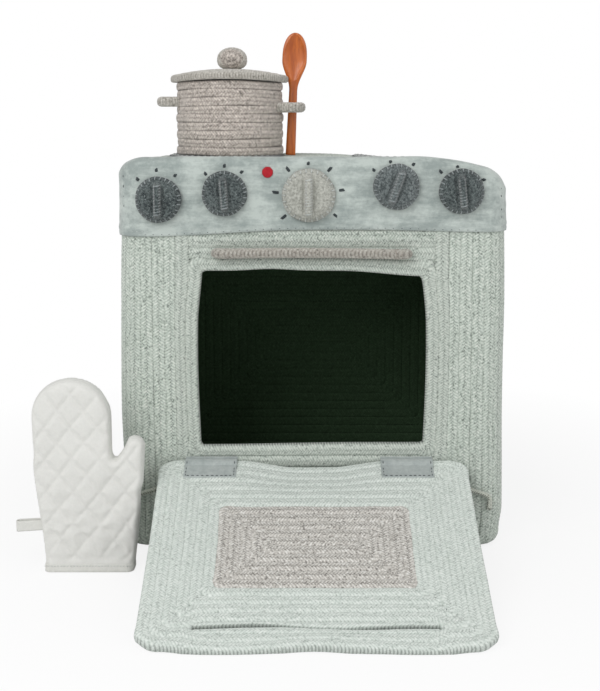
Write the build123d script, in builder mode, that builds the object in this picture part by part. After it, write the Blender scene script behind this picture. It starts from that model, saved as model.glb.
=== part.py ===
"""Soft play oven of coiled cotton braid, with its pot, lid, spoon and oven mitt.

Millimetres, +Z up. The origin is the centre of the oven's underside, on the floor. The door side faces -Y.
The door lies open, with its free edge on the floor.
"""

import os
from math import asin, atan2, cos, degrees, hypot, radians, sin

from build123d import *

os.makedirs("parts", exist_ok=True)

# ---------------------------------------------------------------- oven body
top_width = 424.0
base_flare = 4.0  # how far each side leans out at the base
depth = 300.0
front_y = -depth / 2
back_y = depth / 2
height = 443.0
wall = 12.0
upright_edge_radius = 28.0
base_edge_radius = 16.0
top_edge_radius = 7.0
base_rise = 24.0  # how far the base panel turns up into the walls
corner_return = 34.0  # how far the front and back walls turn round the corners

# dark lining of the oven cavity
lining = 8.0
cavity_head_room = 15.0  # opening's top edge to the top of the lining

# oven opening and the lighter frame round it
opening_width = 252.0
opening_bottom = 124.0
opening_below_hob = 122.0
opening_corner_radius = 8.0
frame_side = 16.0
frame_bottom_border = 14.0
frame_top_border = 33.0
frame_corner_radius = 12.0
frame_stand = 1.5
frame_edge_radius = 1.2

# bar handle on the frame
bar_diameter = 12.0
bar_length = 220.0
bar_below_frame_top = 13.0
bar_gap = 3.0
bar_end_radius = 8.5

# felt control panel
panel_thickness = 2.0
panel_end_drop = 84.5  # hob surface to the panel's lower edge, at the corners
panel_middle_drop = 77.0
panel_return = 74.0
panel_hem = 14.0

# knobs, left to right: place from the nearer side or the middle, drop below the hob surface
knob_1_from_side = 44.5
knob_1_drop = 43.5
knob_1_diameter = 50.0
knob_1_turn = 0.0
knob_2_from_side = 116.5
knob_2_drop = 37.0
knob_2_diameter = 49.0
knob_2_turn = 4.0
knob_3_from_middle = -3.5
knob_3_drop = 39.0
knob_3_diameter = 58.0
knob_3_turn = 0.0
knob_4_from_side = 120.0
knob_4_drop = 29.5
knob_4_diameter = 50.0
knob_4_turn = -20.0
knob_5_from_side = 49.0
knob_5_drop = 34.5
knob_5_diameter = 49.0
knob_5_turn = 6.0
knob_thickness = 12.0
knob_edge_radius = 4.5
knob_gap = 0.4
grip_width = 9.0
grip_rise = 8.0
grip_edge_radius = 2.6
grip_margin = 6.5  # from the end of the grip to the rim, more than the rim is rounded
stem_diameter = 8.0
stem_bearing_clearance = 0.06
stem_hole_clearance = 1.0
stem_flange_diameter = 28.0
stem_flange_thickness = 2.0
stem_flange_clearance = 0.15
washer_diameter = 26.0
washer_thickness = 2.0
lock_disc_diameter = 18.0
lock_disc_thickness = 2.5
lock_disc_gap = 0.3
stem_tip = 1.5

# red dot
dot_diameter = 12.0
dot_thickness = 2.0
dot_edge_radius = 0.8
dot_from_main_knob = 45.0
dot_drop = 14.0

# burner discs: place from the middle and from the front face
front_left_burner_diameter = 134.0
front_left_burner_across = -98.5
front_left_burner_back = 90.0
back_left_burner_diameter = 104.0
back_left_burner_across = -100.0
back_left_burner_back = 222.0
front_right_burner_diameter = 104.0
front_right_burner_across = 98.0
front_right_burner_back = 76.0
back_right_burner_diameter = 140.0
back_right_burner_across = 92.0
back_right_burner_back = 206.0
burner_thickness = 2.0

# ---------------------------------------------------------------- door
door_thickness = 11.0
door_free_border = 25.5  # middle of the bar's slot to the free edge
door_hinge_width = 341.0
door_free_width = 338.0
door_taper_length = 150.0
door_hinge_corner = 24.0
door_free_corner = 14.0
door_edge_radius = 5.2
hinge_height = 100.0

window_start = 72.2
window_to_slot = 42.4
window_width = 200.8
window_corner = 6.0

slot_clearance = 1.6  # all round the bar handle, with the door closed

# hinge straps, each a felt loop round the door's edge row
strap_thickness = 2.5
strap_clearance = 0.4
strap_wall_gap = 0.2
strap_width = 58.0
strap_side_clearance = 1.0
strap_patch_rise = 9.0
left_strap_across = -113.0
right_strap_across = 106.0

# small cord loops beside the door
side_cord_diameter = 5.0
side_cord_stand = 0.3
side_cord_from_side = 11.0
side_cord_length = 23.0
side_cord_top = 71.0
side_cord_drop = 23.0
side_cord_bend = 2.75

# ---------------------------------------------------------------- pot, lid and spoon
pot_off_burner = 3.5  # the pot stands a little to the right of its burner's middle
pot_diameter = 123.5
pot_height = 84.0
pot_wall = 10.0
pot_rows = 9
pot_row_groove = 1.2

handle_cord = 10.0
handle_spread = 54.0
handle_bend = 0.6  # bend radius as a share of half the spread
handle_left_reach = 23.0
handle_right_reach = 27.5
handle_left_height = 60.0
handle_right_height = 53.5

lid_diameter = 134.6
lid_thickness = 9.0
lid_dome = 5.0
lid_edge_radius = 3.5
lid_knob_diameter = 35.0
lid_knob_height = 27.0

spoon_length = 141.0
spoon_handle_width = 11.0
spoon_handle_thickness = 6.0
spoon_bowl_width = 31.0
spoon_bowl_length = 57.0
spoon_hollow = 3.5
spoon_hollow_border = 3.5
spoon_neck_width = 8.8
spoon_shoulder = 8.0
spoon_edge_radius = 1.6
spoon_lean = 2.6
spoon_across = 69.8  # foot of the spoon, to the right of the pot's centre
spoon_back = 6.0

# ---------------------------------------------------------------- oven mitt
mitt_across = -243.0
mitt_front = 67.0  # from the oven's front face to the mitt's front
mitt_thickness = 26.0
mitt_wall = 8.0
mitt_edge_radius = 5.0
mitt_height = 212.5
mitt_cuff_width = 98.5
mitt_palm_width = 86.0
mitt_finger_across = -15.5
mitt_crotch = 125.0
mitt_crotch_radius = 5.0
mitt_hem_height = 9.0
mitt_hem_stand = 1.2
mitt_thumb_reach = 63.0
mitt_thumb_width = 22.0
mitt_thumb_tip = 150.0
mitt_thumb_base = 88.0
mitt_thumb_taper = 4.0
mitt_thumb_radius = 7.7
loop_tape_height = 11.5
loop_tape_thickness = 1.2
loop_tape_gap = 6.0
loop_tape_reach = 30.0
loop_tape_place = 48.0

# ---------------------------------------------------------------- shared places
inner_front_y = front_y + wall
inner_back_y = back_y - wall
inner_top = height - wall
base_width = top_width + 2 * base_flare
reach = 2 * base_width  # longer than anything it cuts

opening_top = height - opening_below_hob
cavity_top = opening_top + cavity_head_room
frame_width = opening_width + 2 * frame_side
frame_bottom = opening_bottom - frame_bottom_border
frame_top = opening_top + frame_top_border
frame_face_y = front_y - frame_stand
bar_height = frame_top - bar_below_frame_top

knob_places = [
    (knob_1_from_side - top_width / 2, height - knob_1_drop, knob_1_diameter, knob_1_turn),
    (knob_2_from_side - top_width / 2, height - knob_2_drop, knob_2_diameter, knob_2_turn),
    (knob_3_from_middle, height - knob_3_drop, knob_3_diameter, knob_3_turn),
    (top_width / 2 - knob_4_from_side, height - knob_4_drop, knob_4_diameter, knob_4_turn),
    (top_width / 2 - knob_5_from_side, height - knob_5_drop, knob_5_diameter, knob_5_turn),
]
dot_place = (knob_3_from_middle - dot_from_main_knob, height - dot_drop)
burner_places = [
    (front_left_burner_across, front_left_burner_back, front_left_burner_diameter),
    (back_left_burner_across, back_left_burner_back, back_left_burner_diameter),
    (front_right_burner_across, front_right_burner_back, front_right_burner_diameter),
    (back_right_burner_across, back_right_burner_back, back_right_burner_diameter),
]
pot_place = (front_left_burner_across + pot_off_burner, front_y + front_left_burner_back)

edge_row_radius = door_thickness / 2
strap_inner_radius = edge_row_radius + strap_clearance
strap_outer_radius = strap_inner_radius + strap_thickness
hinge_y = front_y - strap_outer_radius - strap_wall_gap

bar_from_hinge = bar_height - hinge_height
slot_length = bar_length + 2 * slot_clearance
slot_height = bar_diameter + 2 * slot_clearance
door_length = bar_from_hinge + door_free_border
window_length = bar_from_hinge - slot_height / 2 - window_to_slot - window_start


def rest_slope():
    """Angle below level at which the open door's free edge lies on the floor."""
    along = door_length - door_edge_radius
    across = door_thickness / 2 - door_edge_radius
    return degrees(asin((hinge_height - door_edge_radius) / hypot(along, across)) - atan2(across, along))


door_slope = rest_slope()
door_closing_angle = 90 + door_slope
print("door closes through", round(door_closing_angle, 3), "degrees about", (0, hinge_y, hinge_height))

front_plane = Plane(origin=(0, front_y, 0), x_dir=(1, 0, 0), z_dir=(0, -1, 0))
door_plane = Plane(
    origin=(0, hinge_y, hinge_height),
    x_dir=(1, 0, 0),
    z_dir=(0, -sin(radians(door_slope)), cos(radians(door_slope))),
)


def side_width(z):
    """Outer width of the oven body at a height: it widens a little towards the base."""
    return base_width + (top_width - base_width) * z / height


def tapered_block(inset, z_low, z_high, y_low, y_high, corner=0.0):
    """Solid block that follows the body's flared sides."""
    with BuildPart() as block:
        for z in (z_low, z_high):
            with BuildSketch(Plane.XY.offset(z)):
                with Locations((0, (y_low + y_high) / 2)):
                    if corner > 0:
                        RectangleRounded(side_width(z) - 2 * inset, y_high - y_low, corner)
                    else:
                        Rectangle(side_width(z) - 2 * inset, y_high - y_low)
        loft(ruled=True)
    return block.part


def zone(x_range=(-reach, reach), y_range=(-reach, reach), z_range=(-reach, reach)):
    """Plain block between limits, used to cut a panel out of the body's shell."""
    sizes = [high - low for low, high in (x_range, y_range, z_range)]
    middle = [(high + low) / 2 for low, high in (x_range, y_range, z_range)]
    with BuildPart() as block:
        with Locations(tuple(middle)):
            Box(*sizes)
    return block.part


def write(piece, name):
    """Label a finished piece and write its file."""
    piece.part.label = name
    export_step(piece.part, f"parts/{name}.step")


# ---------------------------------------------------------------- shell of the oven body
with BuildPart() as body_block:
    add(tapered_block(0, 0, height, front_y, back_y, upright_edge_radius))
    fillet(body_block.edges().group_by(Axis.Z)[0], base_edge_radius)
    fillet(body_block.edges().group_by(Axis.Z)[-1], top_edge_radius)

inner_block = tapered_block(wall, wall, inner_top, inner_front_y, inner_back_y, upright_edge_radius - wall)

with BuildPart() as shell:
    add(body_block.part)
    add(inner_block, mode=Mode.SUBTRACT)

wall_heights = (base_rise, inner_top)
front_zone_y = front_y + corner_return
back_zone_y = back_y - corner_return

with BuildPart() as base_panel:
    add(shell.part)
    add(zone(z_range=(-reach, base_rise)), mode=Mode.INTERSECT)
write(base_panel, "base_panel")

with BuildPart() as hob_top:
    add(shell.part)
    add(zone(z_range=(inner_top, reach)), mode=Mode.INTERSECT)
write(hob_top, "hob_top")

with BuildPart() as back_wall:
    add(shell.part)
    add(zone(y_range=(back_zone_y, reach), z_range=wall_heights), mode=Mode.INTERSECT)
write(back_wall, "back_wall")

with BuildPart() as left_wall:
    add(shell.part)
    add(zone((-reach, 0), (front_zone_y, back_zone_y), wall_heights), mode=Mode.INTERSECT)
write(left_wall, "left_wall")

with BuildPart() as right_wall:
    add(shell.part)
    add(zone((0, reach), (front_zone_y, back_zone_y), wall_heights), mode=Mode.INTERSECT)
write(right_wall, "right_wall")

with BuildPart() as front_wall:
    add(shell.part)
    add(zone(y_range=(-reach, front_zone_y), z_range=wall_heights), mode=Mode.INTERSECT)
    with BuildSketch(front_plane):
        with Locations((0, (frame_top + frame_bottom) / 2)):
            RectangleRounded(frame_width, frame_top - frame_bottom, frame_corner_radius)
        for across, up, _, _ in knob_places:
            with Locations((across, up)):
                Circle(stem_diameter / 2 + stem_hole_clearance)
    extrude(amount=-wall, mode=Mode.SUBTRACT)
write(front_wall, "front_wall")

# ---------------------------------------------------------------- frame and bar handle
with BuildPart() as opening_frame:
    with BuildSketch(front_plane.offset(frame_stand)):
        with Locations((0, (frame_top + frame_bottom) / 2)):
            RectangleRounded(frame_width, frame_top - frame_bottom, frame_corner_radius)
        with Locations((0, (opening_top + opening_bottom) / 2)):
            RectangleRounded(
                opening_width, opening_top - opening_bottom, opening_corner_radius, mode=Mode.SUBTRACT
            )
    extrude(amount=-(wall + frame_stand))
    fillet(opening_frame.edges().group_by(Axis.Y)[0], frame_edge_radius)
write(opening_frame, "opening_frame")

bar_y = frame_face_y - bar_gap - bar_diameter / 2
bar_half = bar_length / 2 - bar_diameter / 2
with BuildPart() as bar_handle:
    with BuildLine(Plane.XY.offset(bar_height)) as bar_path:
        FilletPolyline(
            (-bar_half, frame_face_y),
            (-bar_half, bar_y),
            (bar_half, bar_y),
            (bar_half, frame_face_y),
            radius=bar_end_radius,
        )
    with BuildSketch(Plane(origin=(-bar_half, frame_face_y, bar_height), z_dir=(0, -1, 0))):
        Circle(bar_diameter / 2)
    sweep()
write(bar_handle, "bar_handle")

# ---------------------------------------------------------------- cavity lining
with BuildPart() as lining_shell:
    add(inner_block)
    add(zone(z_range=(cavity_top, reach)), mode=Mode.SUBTRACT)
    add(
        tapered_block(
            wall + lining, wall + lining, cavity_top - lining, inner_front_y, inner_back_y - lining
        ),
        mode=Mode.SUBTRACT,
    )

lining_heights = (wall + lining, cavity_top - lining)
lining_back_y = inner_back_y - lining

with BuildPart() as cavity_floor:
    add(lining_shell.part)
    add(zone(z_range=(-reach, lining_heights[0])), mode=Mode.INTERSECT)
write(cavity_floor, "cavity_floor")

with BuildPart() as cavity_ceiling:
    add(lining_shell.part)
    add(zone(z_range=(lining_heights[1], reach)), mode=Mode.INTERSECT)
write(cavity_ceiling, "cavity_ceiling")

with BuildPart() as cavity_back:
    add(lining_shell.part)
    add(zone(y_range=(lining_back_y, reach), z_range=lining_heights), mode=Mode.INTERSECT)
write(cavity_back, "cavity_back")

with BuildPart() as cavity_left:
    add(lining_shell.part)
    add(zone((-reach, 0), (-reach, lining_back_y), lining_heights), mode=Mode.INTERSECT)
write(cavity_left, "cavity_left")

with BuildPart() as cavity_right:
    add(lining_shell.part)
    add(zone((0, reach), (-reach, lining_back_y), lining_heights), mode=Mode.INTERSECT)
write(cavity_right, "cavity_right")

# ---------------------------------------------------------------- control panel
with BuildPart() as panel_block:
    add(
        tapered_block(
            -panel_thickness,
            0,
            height + panel_thickness,
            front_y - panel_thickness,
            back_y + panel_thickness,
            upright_edge_radius + panel_thickness,
        )
    )
    fillet(panel_block.edges().group_by(Axis.Z)[-1], top_edge_radius + panel_thickness)

panel_half = top_width / 2 + 2 * panel_thickness
with BuildPart() as control_panel:
    add(panel_block.part)
    add(body_block.part, mode=Mode.SUBTRACT)
    add(zone(y_range=(-reach, front_y + panel_return)), mode=Mode.INTERSECT)
    add(
        zone(
            (panel_hem - top_width / 2, top_width / 2 - panel_hem),
            (front_y + panel_hem, reach),
            (height - panel_hem, reach),
        ),
        mode=Mode.SUBTRACT,
    )
    with BuildSketch(front_plane.offset(depth)):
        with BuildLine():
            ThreePointArc(
                (-panel_half, height - panel_end_drop),
                (0, height - panel_middle_drop),
                (panel_half, height - panel_end_drop),
            )
            Polyline(
                (panel_half, height - panel_end_drop),
                (reach, height - panel_end_drop),
                (reach, -height),
                (-reach, -height),
                (-reach, height - panel_end_drop),
                (-panel_half, height - panel_end_drop),
            )
        make_face()
    extrude(amount=-3 * depth, mode=Mode.SUBTRACT)
    with BuildSketch(front_plane.offset(2 * panel_thickness)):
        for across, up, _, _ in knob_places:
            with Locations((across, up)):
                Circle(stem_diameter / 2 + stem_hole_clearance)
    extrude(amount=-4 * panel_thickness, mode=Mode.SUBTRACT)
write(control_panel, "control_panel")

panel_face_y = front_y - panel_thickness

with BuildPart() as indicator_dot:
    with BuildSketch(front_plane.offset(panel_thickness)):
        with Locations(dot_place):
            Circle(dot_diameter / 2)
    extrude(amount=dot_thickness)
    fillet(indicator_dot.edges().group_by(Axis.Y)[0], dot_edge_radius)
write(indicator_dot, "indicator_dot")

with BuildPart() as burner_discs:
    with BuildSketch(Plane.XY.offset(height)):
        for across, back, diameter in burner_places:
            with Locations((across, front_y + back)):
                Circle(diameter / 2)
    extrude(amount=burner_thickness)
write(burner_discs, "burner_discs")

# ---------------------------------------------------------------- knobs
pad_back_y = panel_face_y - knob_gap
pad_plane_offset = panel_thickness + knob_gap
washer_bore_radius = stem_diameter / 2 + stem_bearing_clearance
lock_face = wall + washer_thickness + lock_disc_gap

for number, (across, up, diameter, turn) in enumerate(knob_places, start=1):
    pad_plane = Plane(
        origin=(across, pad_back_y, up),
        x_dir=(cos(radians(turn)), 0, sin(radians(turn))),
        z_dir=(0, -1, 0),
    )
    with BuildPart() as pad:
        with BuildSketch(pad_plane):
            Circle(diameter / 2)
        extrude(amount=knob_thickness)
        fillet(pad.edges().group_by(Axis.Y)[0], knob_edge_radius)
        with BuildSketch(pad_plane):
            SlotOverall(diameter - 2 * grip_margin, grip_width, rotation=90)
        extrude(amount=knob_thickness + grip_rise)
        fillet(pad.edges().group_by(Axis.Y)[0], grip_edge_radius)
        with BuildSketch(pad_plane):
            Circle(stem_flange_diameter / 2 + stem_flange_clearance)
        extrude(amount=stem_flange_thickness, mode=Mode.SUBTRACT)
    write(pad, f"knob_{number}_pad")

    with BuildPart() as stem:
        with BuildSketch(pad_plane.offset(stem_flange_thickness)):
            Circle(stem_flange_diameter / 2)
        extrude(amount=-stem_flange_thickness)
        with BuildSketch(pad_plane):
            Circle(stem_diameter / 2)
        extrude(amount=-(pad_plane_offset + lock_face + lock_disc_thickness + stem_tip))
        with BuildSketch(pad_plane.offset(-(pad_plane_offset + lock_face))):
            Circle(lock_disc_diameter / 2)
        extrude(amount=-lock_disc_thickness)
    write(stem, f"knob_{number}_stem")

with BuildPart() as knob_washers:
    with BuildSketch(front_plane.offset(-wall)):
        for across, up, _, _ in knob_places:
            with Locations((across, up)):
                Circle(washer_diameter / 2)
                Circle(washer_bore_radius, mode=Mode.SUBTRACT)
    extrude(amount=-washer_thickness)
write(knob_washers, "knob_washers")

# ---------------------------------------------------------------- hinge straps and side cords
for side, across in (("left", left_strap_across), ("right", right_strap_across)):
    with BuildPart() as strap:
        with BuildSketch(Plane.YZ.offset(across)):
            with Locations((hinge_y, hinge_height)):
                Circle(strap_outer_radius)
            with Locations((front_y - strap_thickness / 2, hinge_height + strap_patch_rise / 2)):
                Rectangle(strap_thickness, strap_patch_rise)
            with Locations((hinge_y, hinge_height)):
                Circle(strap_inner_radius, mode=Mode.SUBTRACT)
        extrude(amount=strap_width / 2, both=True)
    write(strap, f"hinge_strap_{side}")

cord_y = front_y - side_cord_stand - side_cord_diameter / 2
cord_outer = top_width / 2 - side_cord_from_side
cord_inner = cord_outer - side_cord_length
cord_bottom = side_cord_top - side_cord_drop
for side, sign in (("left", -1), ("right", 1)):
    with BuildPart() as side_cord:
        with BuildLine():
            FilletPolyline(
                (sign * cord_inner, front_y, side_cord_top),
                (sign * cord_inner, cord_y, side_cord_top),
                (sign * cord_outer, cord_y, side_cord_top),
                (sign * cord_outer, cord_y, cord_bottom),
                (sign * cord_outer, front_y, cord_bottom),
                radius=side_cord_bend,
            )
        with BuildSketch(Plane(origin=(sign * cord_inner, front_y, side_cord_top), z_dir=(0, -1, 0))):
            Circle(side_cord_diameter / 2)
        sweep()
    write(side_cord, f"side_cord_{side}")

# ---------------------------------------------------------------- door
window_middle = -(window_start + window_length / 2)
door_normal = Axis(door_plane.origin, door_plane.z_dir)

with BuildPart() as door_panel:
    with BuildSketch(door_plane):
        with BuildLine():
            half_hinge = door_hinge_width / 2
            half_free = door_free_width / 2
            Polyline(
                (-half_hinge, edge_row_radius),
                (half_hinge, edge_row_radius),
                (half_free, -door_taper_length),
                (half_free, -door_length),
                (-half_free, -door_length),
                (-half_free, -door_taper_length),
                close=True,
            )
        make_face()
    extrude(amount=door_thickness / 2, both=True)
    fillet(door_panel.edges().filter_by(door_normal).sort_by(Axis.Y)[:2], door_free_corner)
    fillet(door_panel.edges().filter_by(door_normal).sort_by(Axis.Y)[-2:], door_hinge_corner)
    broad_faces = door_panel.faces().sort_by(door_normal)
    fillet(broad_faces[0].edges() + broad_faces[-1].edges(), door_edge_radius)
    with BuildSketch(door_plane):
        with Locations((0, window_middle)):
            RectangleRounded(window_width, window_length, window_corner)
        with Locations((0, -bar_from_hinge)):
            SlotOverall(slot_length, slot_height)
    extrude(amount=door_thickness, both=True, mode=Mode.SUBTRACT)
    for across in (left_strap_across, right_strap_across):
        with BuildSketch(Plane.YZ.offset(across)):
            with Locations((hinge_y, hinge_height)):
                Circle(strap_outer_radius + strap_clearance)
                Circle(edge_row_radius, mode=Mode.SUBTRACT)
        extrude(amount=strap_width / 2 + strap_side_clearance, both=True, mode=Mode.SUBTRACT)
write(door_panel, "door_panel")

with BuildPart() as door_window:
    with BuildSketch(door_plane):
        with Locations((0, window_middle)):
            RectangleRounded(window_width, window_length, window_corner)
    extrude(amount=door_thickness / 2, both=True)
write(door_window, "door_window")

# ---------------------------------------------------------------- pot and lid
pot_base = height + burner_thickness
pot_radius = pot_diameter / 2
pot_row = pot_height / pot_rows
pot_rim = pot_base + pot_height
pot_plane = Plane(origin=(pot_place[0], pot_place[1], pot_base), x_dir=(1, 0, 0), z_dir=(0, -1, 0))
pot_axis = Axis((pot_place[0], pot_place[1], pot_base), (0, 0, 1))

with BuildPart() as pot_body:
    with BuildSketch(pot_plane):
        with BuildLine():
            groove_radius = pot_radius - pot_row_groove
            Line((0, 0), (groove_radius, 0))
            for row in range(pot_rows):
                ThreePointArc(
                    (groove_radius, row * pot_row),
                    (pot_radius, (row + 0.5) * pot_row),
                    (groove_radius, (row + 1) * pot_row),
                )
            Polyline(
                (groove_radius, pot_height),
                (pot_radius - pot_wall, pot_height),
                (pot_radius - pot_wall, pot_wall),
                (0, pot_wall),
                (0, 0),
            )
        make_face()
    revolve(axis=pot_axis)
write(pot_body, "pot_body")

for side, sign, loop_reach, up in (
    ("left", -1, handle_left_reach, handle_left_height),
    ("right", 1, handle_right_reach, handle_right_height),
):
    half_spread = (handle_spread - handle_cord) / 2
    root = pot_radius - pot_wall / 2
    tip = pot_radius + loop_reach - handle_cord / 2
    loop_plane = Plane(origin=(pot_place[0], pot_place[1], pot_base + up))
    with BuildPart() as handle:
        with BuildLine(loop_plane):
            FilletPolyline(
                (sign * root, -half_spread),
                (sign * tip, -half_spread),
                (sign * tip, half_spread),
                (sign * root, half_spread),
                radius=half_spread * handle_bend,
            )
        with BuildSketch(
            Plane(origin=loop_plane.from_local_coords((sign * root, -half_spread, 0)), z_dir=(sign, 0, 0))
        ):
            Circle(handle_cord / 2)
        sweep()
        add(pot_body.part, mode=Mode.SUBTRACT)
    write(handle, f"pot_handle_{side}")

lid_radius = lid_diameter / 2
dome_radius = (lid_radius**2 + lid_dome**2) / (2 * lid_dome)
lid_knob_radius = lid_knob_diameter / 2
lid_plane = Plane(origin=(pot_place[0], pot_place[1], pot_rim), x_dir=(1, 0, 0), z_dir=(0, -1, 0))

with BuildPart() as lid_disc:
    with BuildSketch(lid_plane) as lid_profile:
        with BuildLine():
            Line((0, 0), (lid_radius, 0))
            Line((lid_radius, 0), (lid_radius, lid_thickness))
            RadiusArc((lid_radius, lid_thickness), (0, lid_thickness + lid_dome), -dome_radius)
            Line((0, lid_thickness + lid_dome), (0, 0))
        make_face()
        fillet(lid_profile.vertices().group_by(Axis.X)[-1], lid_edge_radius)
    revolve(axis=pot_axis)
write(lid_disc, "lid_disc")

lid_top = pot_rim + lid_thickness + lid_dome
lid_knob_plane = Plane(origin=(pot_place[0], pot_place[1], lid_top), x_dir=(1, 0, 0), z_dir=(0, -1, 0))
with BuildPart() as lid_knob:
    with BuildSketch(lid_knob_plane):
        with BuildLine():
            flat = lid_knob_radius - lid_knob_height / 2
            Polyline((flat, lid_knob_height), (0, lid_knob_height), (0, 0), (flat, 0))
            ThreePointArc((flat, 0), (lid_knob_radius, lid_knob_height / 2), (flat, lid_knob_height))
        make_face()
    revolve(axis=pot_axis)
write(lid_knob, "lid_knob")

# ---------------------------------------------------------------- spoon
spoon_plane = Plane(
    origin=(pot_place[0] + spoon_across, pot_place[1] + spoon_back, height),
    x_dir=(cos(radians(spoon_lean)), 0, -sin(radians(spoon_lean))),
    z_dir=(0, -1, 0),
)
spoon_foot = spoon_handle_width / 2 * sin(radians(spoon_lean))
bowl_middle = spoon_length - spoon_bowl_length / 2

with BuildPart() as bowl_hollow:
    Sphere(1)
    scale(
        by=(
            spoon_bowl_width / 2 - spoon_hollow_border,
            spoon_bowl_length / 2 - spoon_hollow_border,
            spoon_hollow,
        )
    )

with BuildPart() as spoon:
    half = spoon_handle_width / 2
    neck_half = spoon_neck_width / 2
    shoulder = spoon_length - spoon_bowl_length - spoon_shoulder
    with BuildSketch(spoon_plane):
        with BuildLine():
            Line((-half, spoon_foot), (half, spoon_foot))
            Line((half, spoon_foot), (neck_half, shoulder))
            Spline(
                (neck_half, shoulder),
                (spoon_bowl_width / 2, bowl_middle),
                (0, spoon_length),
                tangents=((0, 1), (-1, 0)),
            )
            Spline(
                (0, spoon_length),
                (-spoon_bowl_width / 2, bowl_middle),
                (-neck_half, shoulder),
                tangents=((-1, 0), (0, -1)),
            )
            Line((-neck_half, shoulder), (-half, spoon_foot))
        make_face()
    extrude(amount=spoon_handle_thickness / 2, both=True)
    fillet(spoon.faces().sort_by(Axis.Y)[0].edges() + spoon.faces().sort_by(Axis.Y)[-1].edges(), spoon_edge_radius)
    with Locations(spoon_plane.location * Location((0, bowl_middle, spoon_handle_thickness / 2))):
        add(bowl_hollow.part, mode=Mode.SUBTRACT)
write(spoon, "spoon")

# ---------------------------------------------------------------- oven mitt
mitt_plane = Plane(
    origin=(mitt_across, front_y - mitt_front + mitt_thickness / 2, 0),
    x_dir=(1, 0, 0),
    z_dir=(0, -1, 0),
)
cuff_half = mitt_cuff_width / 2
fingers_left = mitt_finger_across - mitt_palm_width / 2
fingers_right = mitt_finger_across + mitt_palm_width / 2
fingers_shoulder = mitt_height - mitt_palm_width / 2


def mitt_outline(shrink):
    """Hand shape with the thumb to the right, drawn as the rim of a flat bag, inset by a seam width."""
    with BuildSketch() as hand:
        with BuildLine():
            Polyline(
                (fingers_right, fingers_shoulder),
                (fingers_right, mitt_crotch),
                (mitt_thumb_reach - mitt_thumb_width, mitt_thumb_tip),
                (mitt_thumb_reach, mitt_thumb_tip),
                (mitt_thumb_reach - mitt_thumb_taper, mitt_thumb_base),
                (cuff_half, 0),
                (-cuff_half, 0),
                (fingers_left, mitt_crotch),
                (fingers_left, fingers_shoulder),
            )
            ThreePointArc(
                (fingers_left, fingers_shoulder),
                (mitt_finger_across, mitt_height),
                (fingers_right, fingers_shoulder),
            )
        make_face()
        upper = hand.vertices().filter_by(lambda corner: corner.Y > 1)
        thumb_corners = upper.sort_by(Axis.X)[-3:]
        fillet(thumb_corners, mitt_thumb_radius)
        fillet(hand.vertices().sort_by_distance((fingers_right, mitt_crotch))[:1], mitt_crotch_radius)
        if shrink:
            offset(amount=-shrink, kind=Kind.INTERSECTION)
    return hand.sketch


pocket_thickness = mitt_thickness - 2 * mitt_wall
with BuildPart() as mitt_shell:
    with BuildSketch(mitt_plane):
        add(mitt_outline(0))
    extrude(amount=mitt_thickness / 2, both=True)
    broad = mitt_shell.faces().sort_by(Axis.Y)
    rim_edges = broad[0].edges() + broad[-1].edges()
    fillet([edge for edge in rim_edges if edge.center().Z > 1], mitt_edge_radius)
    with BuildSketch(mitt_plane):
        add(mitt_outline(mitt_wall))
        with Locations((0, mitt_wall / 2)):
            Rectangle(mitt_cuff_width - 2 * mitt_wall, 3 * mitt_wall)
    extrude(amount=pocket_thickness / 2, both=True, mode=Mode.SUBTRACT)
    add(zone(z_range=(mitt_hem_height, reach)), mode=Mode.INTERSECT)
write(mitt_shell, "mitt_shell")

mitt_middle_y = mitt_plane.origin.Y
with BuildPart() as mitt_hem:
    with BuildSketch():
        with Locations((mitt_across, mitt_middle_y)):
            RectangleRounded(
                mitt_cuff_width + 2 * mitt_hem_stand, mitt_thickness + 2 * mitt_hem_stand, mitt_edge_radius
            )
            Rectangle(mitt_cuff_width - 2 * mitt_wall, pocket_thickness, mode=Mode.SUBTRACT)
    extrude(amount=mitt_hem_height)
write(mitt_hem, "mitt_hem")

tape_width = loop_tape_gap + 2 * loop_tape_thickness
with BuildPart() as mitt_loop:
    with BuildSketch(Plane.XY.offset(loop_tape_place - loop_tape_height / 2)):
        with Locations((mitt_across - cuff_half, mitt_middle_y)):
            SlotOverall(2 * loop_tape_reach, tape_width)
            SlotOverall(2 * (loop_tape_reach - loop_tape_thickness), loop_tape_gap, mode=Mode.SUBTRACT)
    extrude(amount=loop_tape_height)
    add(zone(x_range=(-reach, mitt_across - cuff_half)), mode=Mode.INTERSECT)
    add(mitt_shell.part, mode=Mode.SUBTRACT)
write(mitt_loop, "mitt_loop")
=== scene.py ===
import math

import bpy
import numpy as np
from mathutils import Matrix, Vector
from mathutils.geometry import delaunay_2d_cdt


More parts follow.
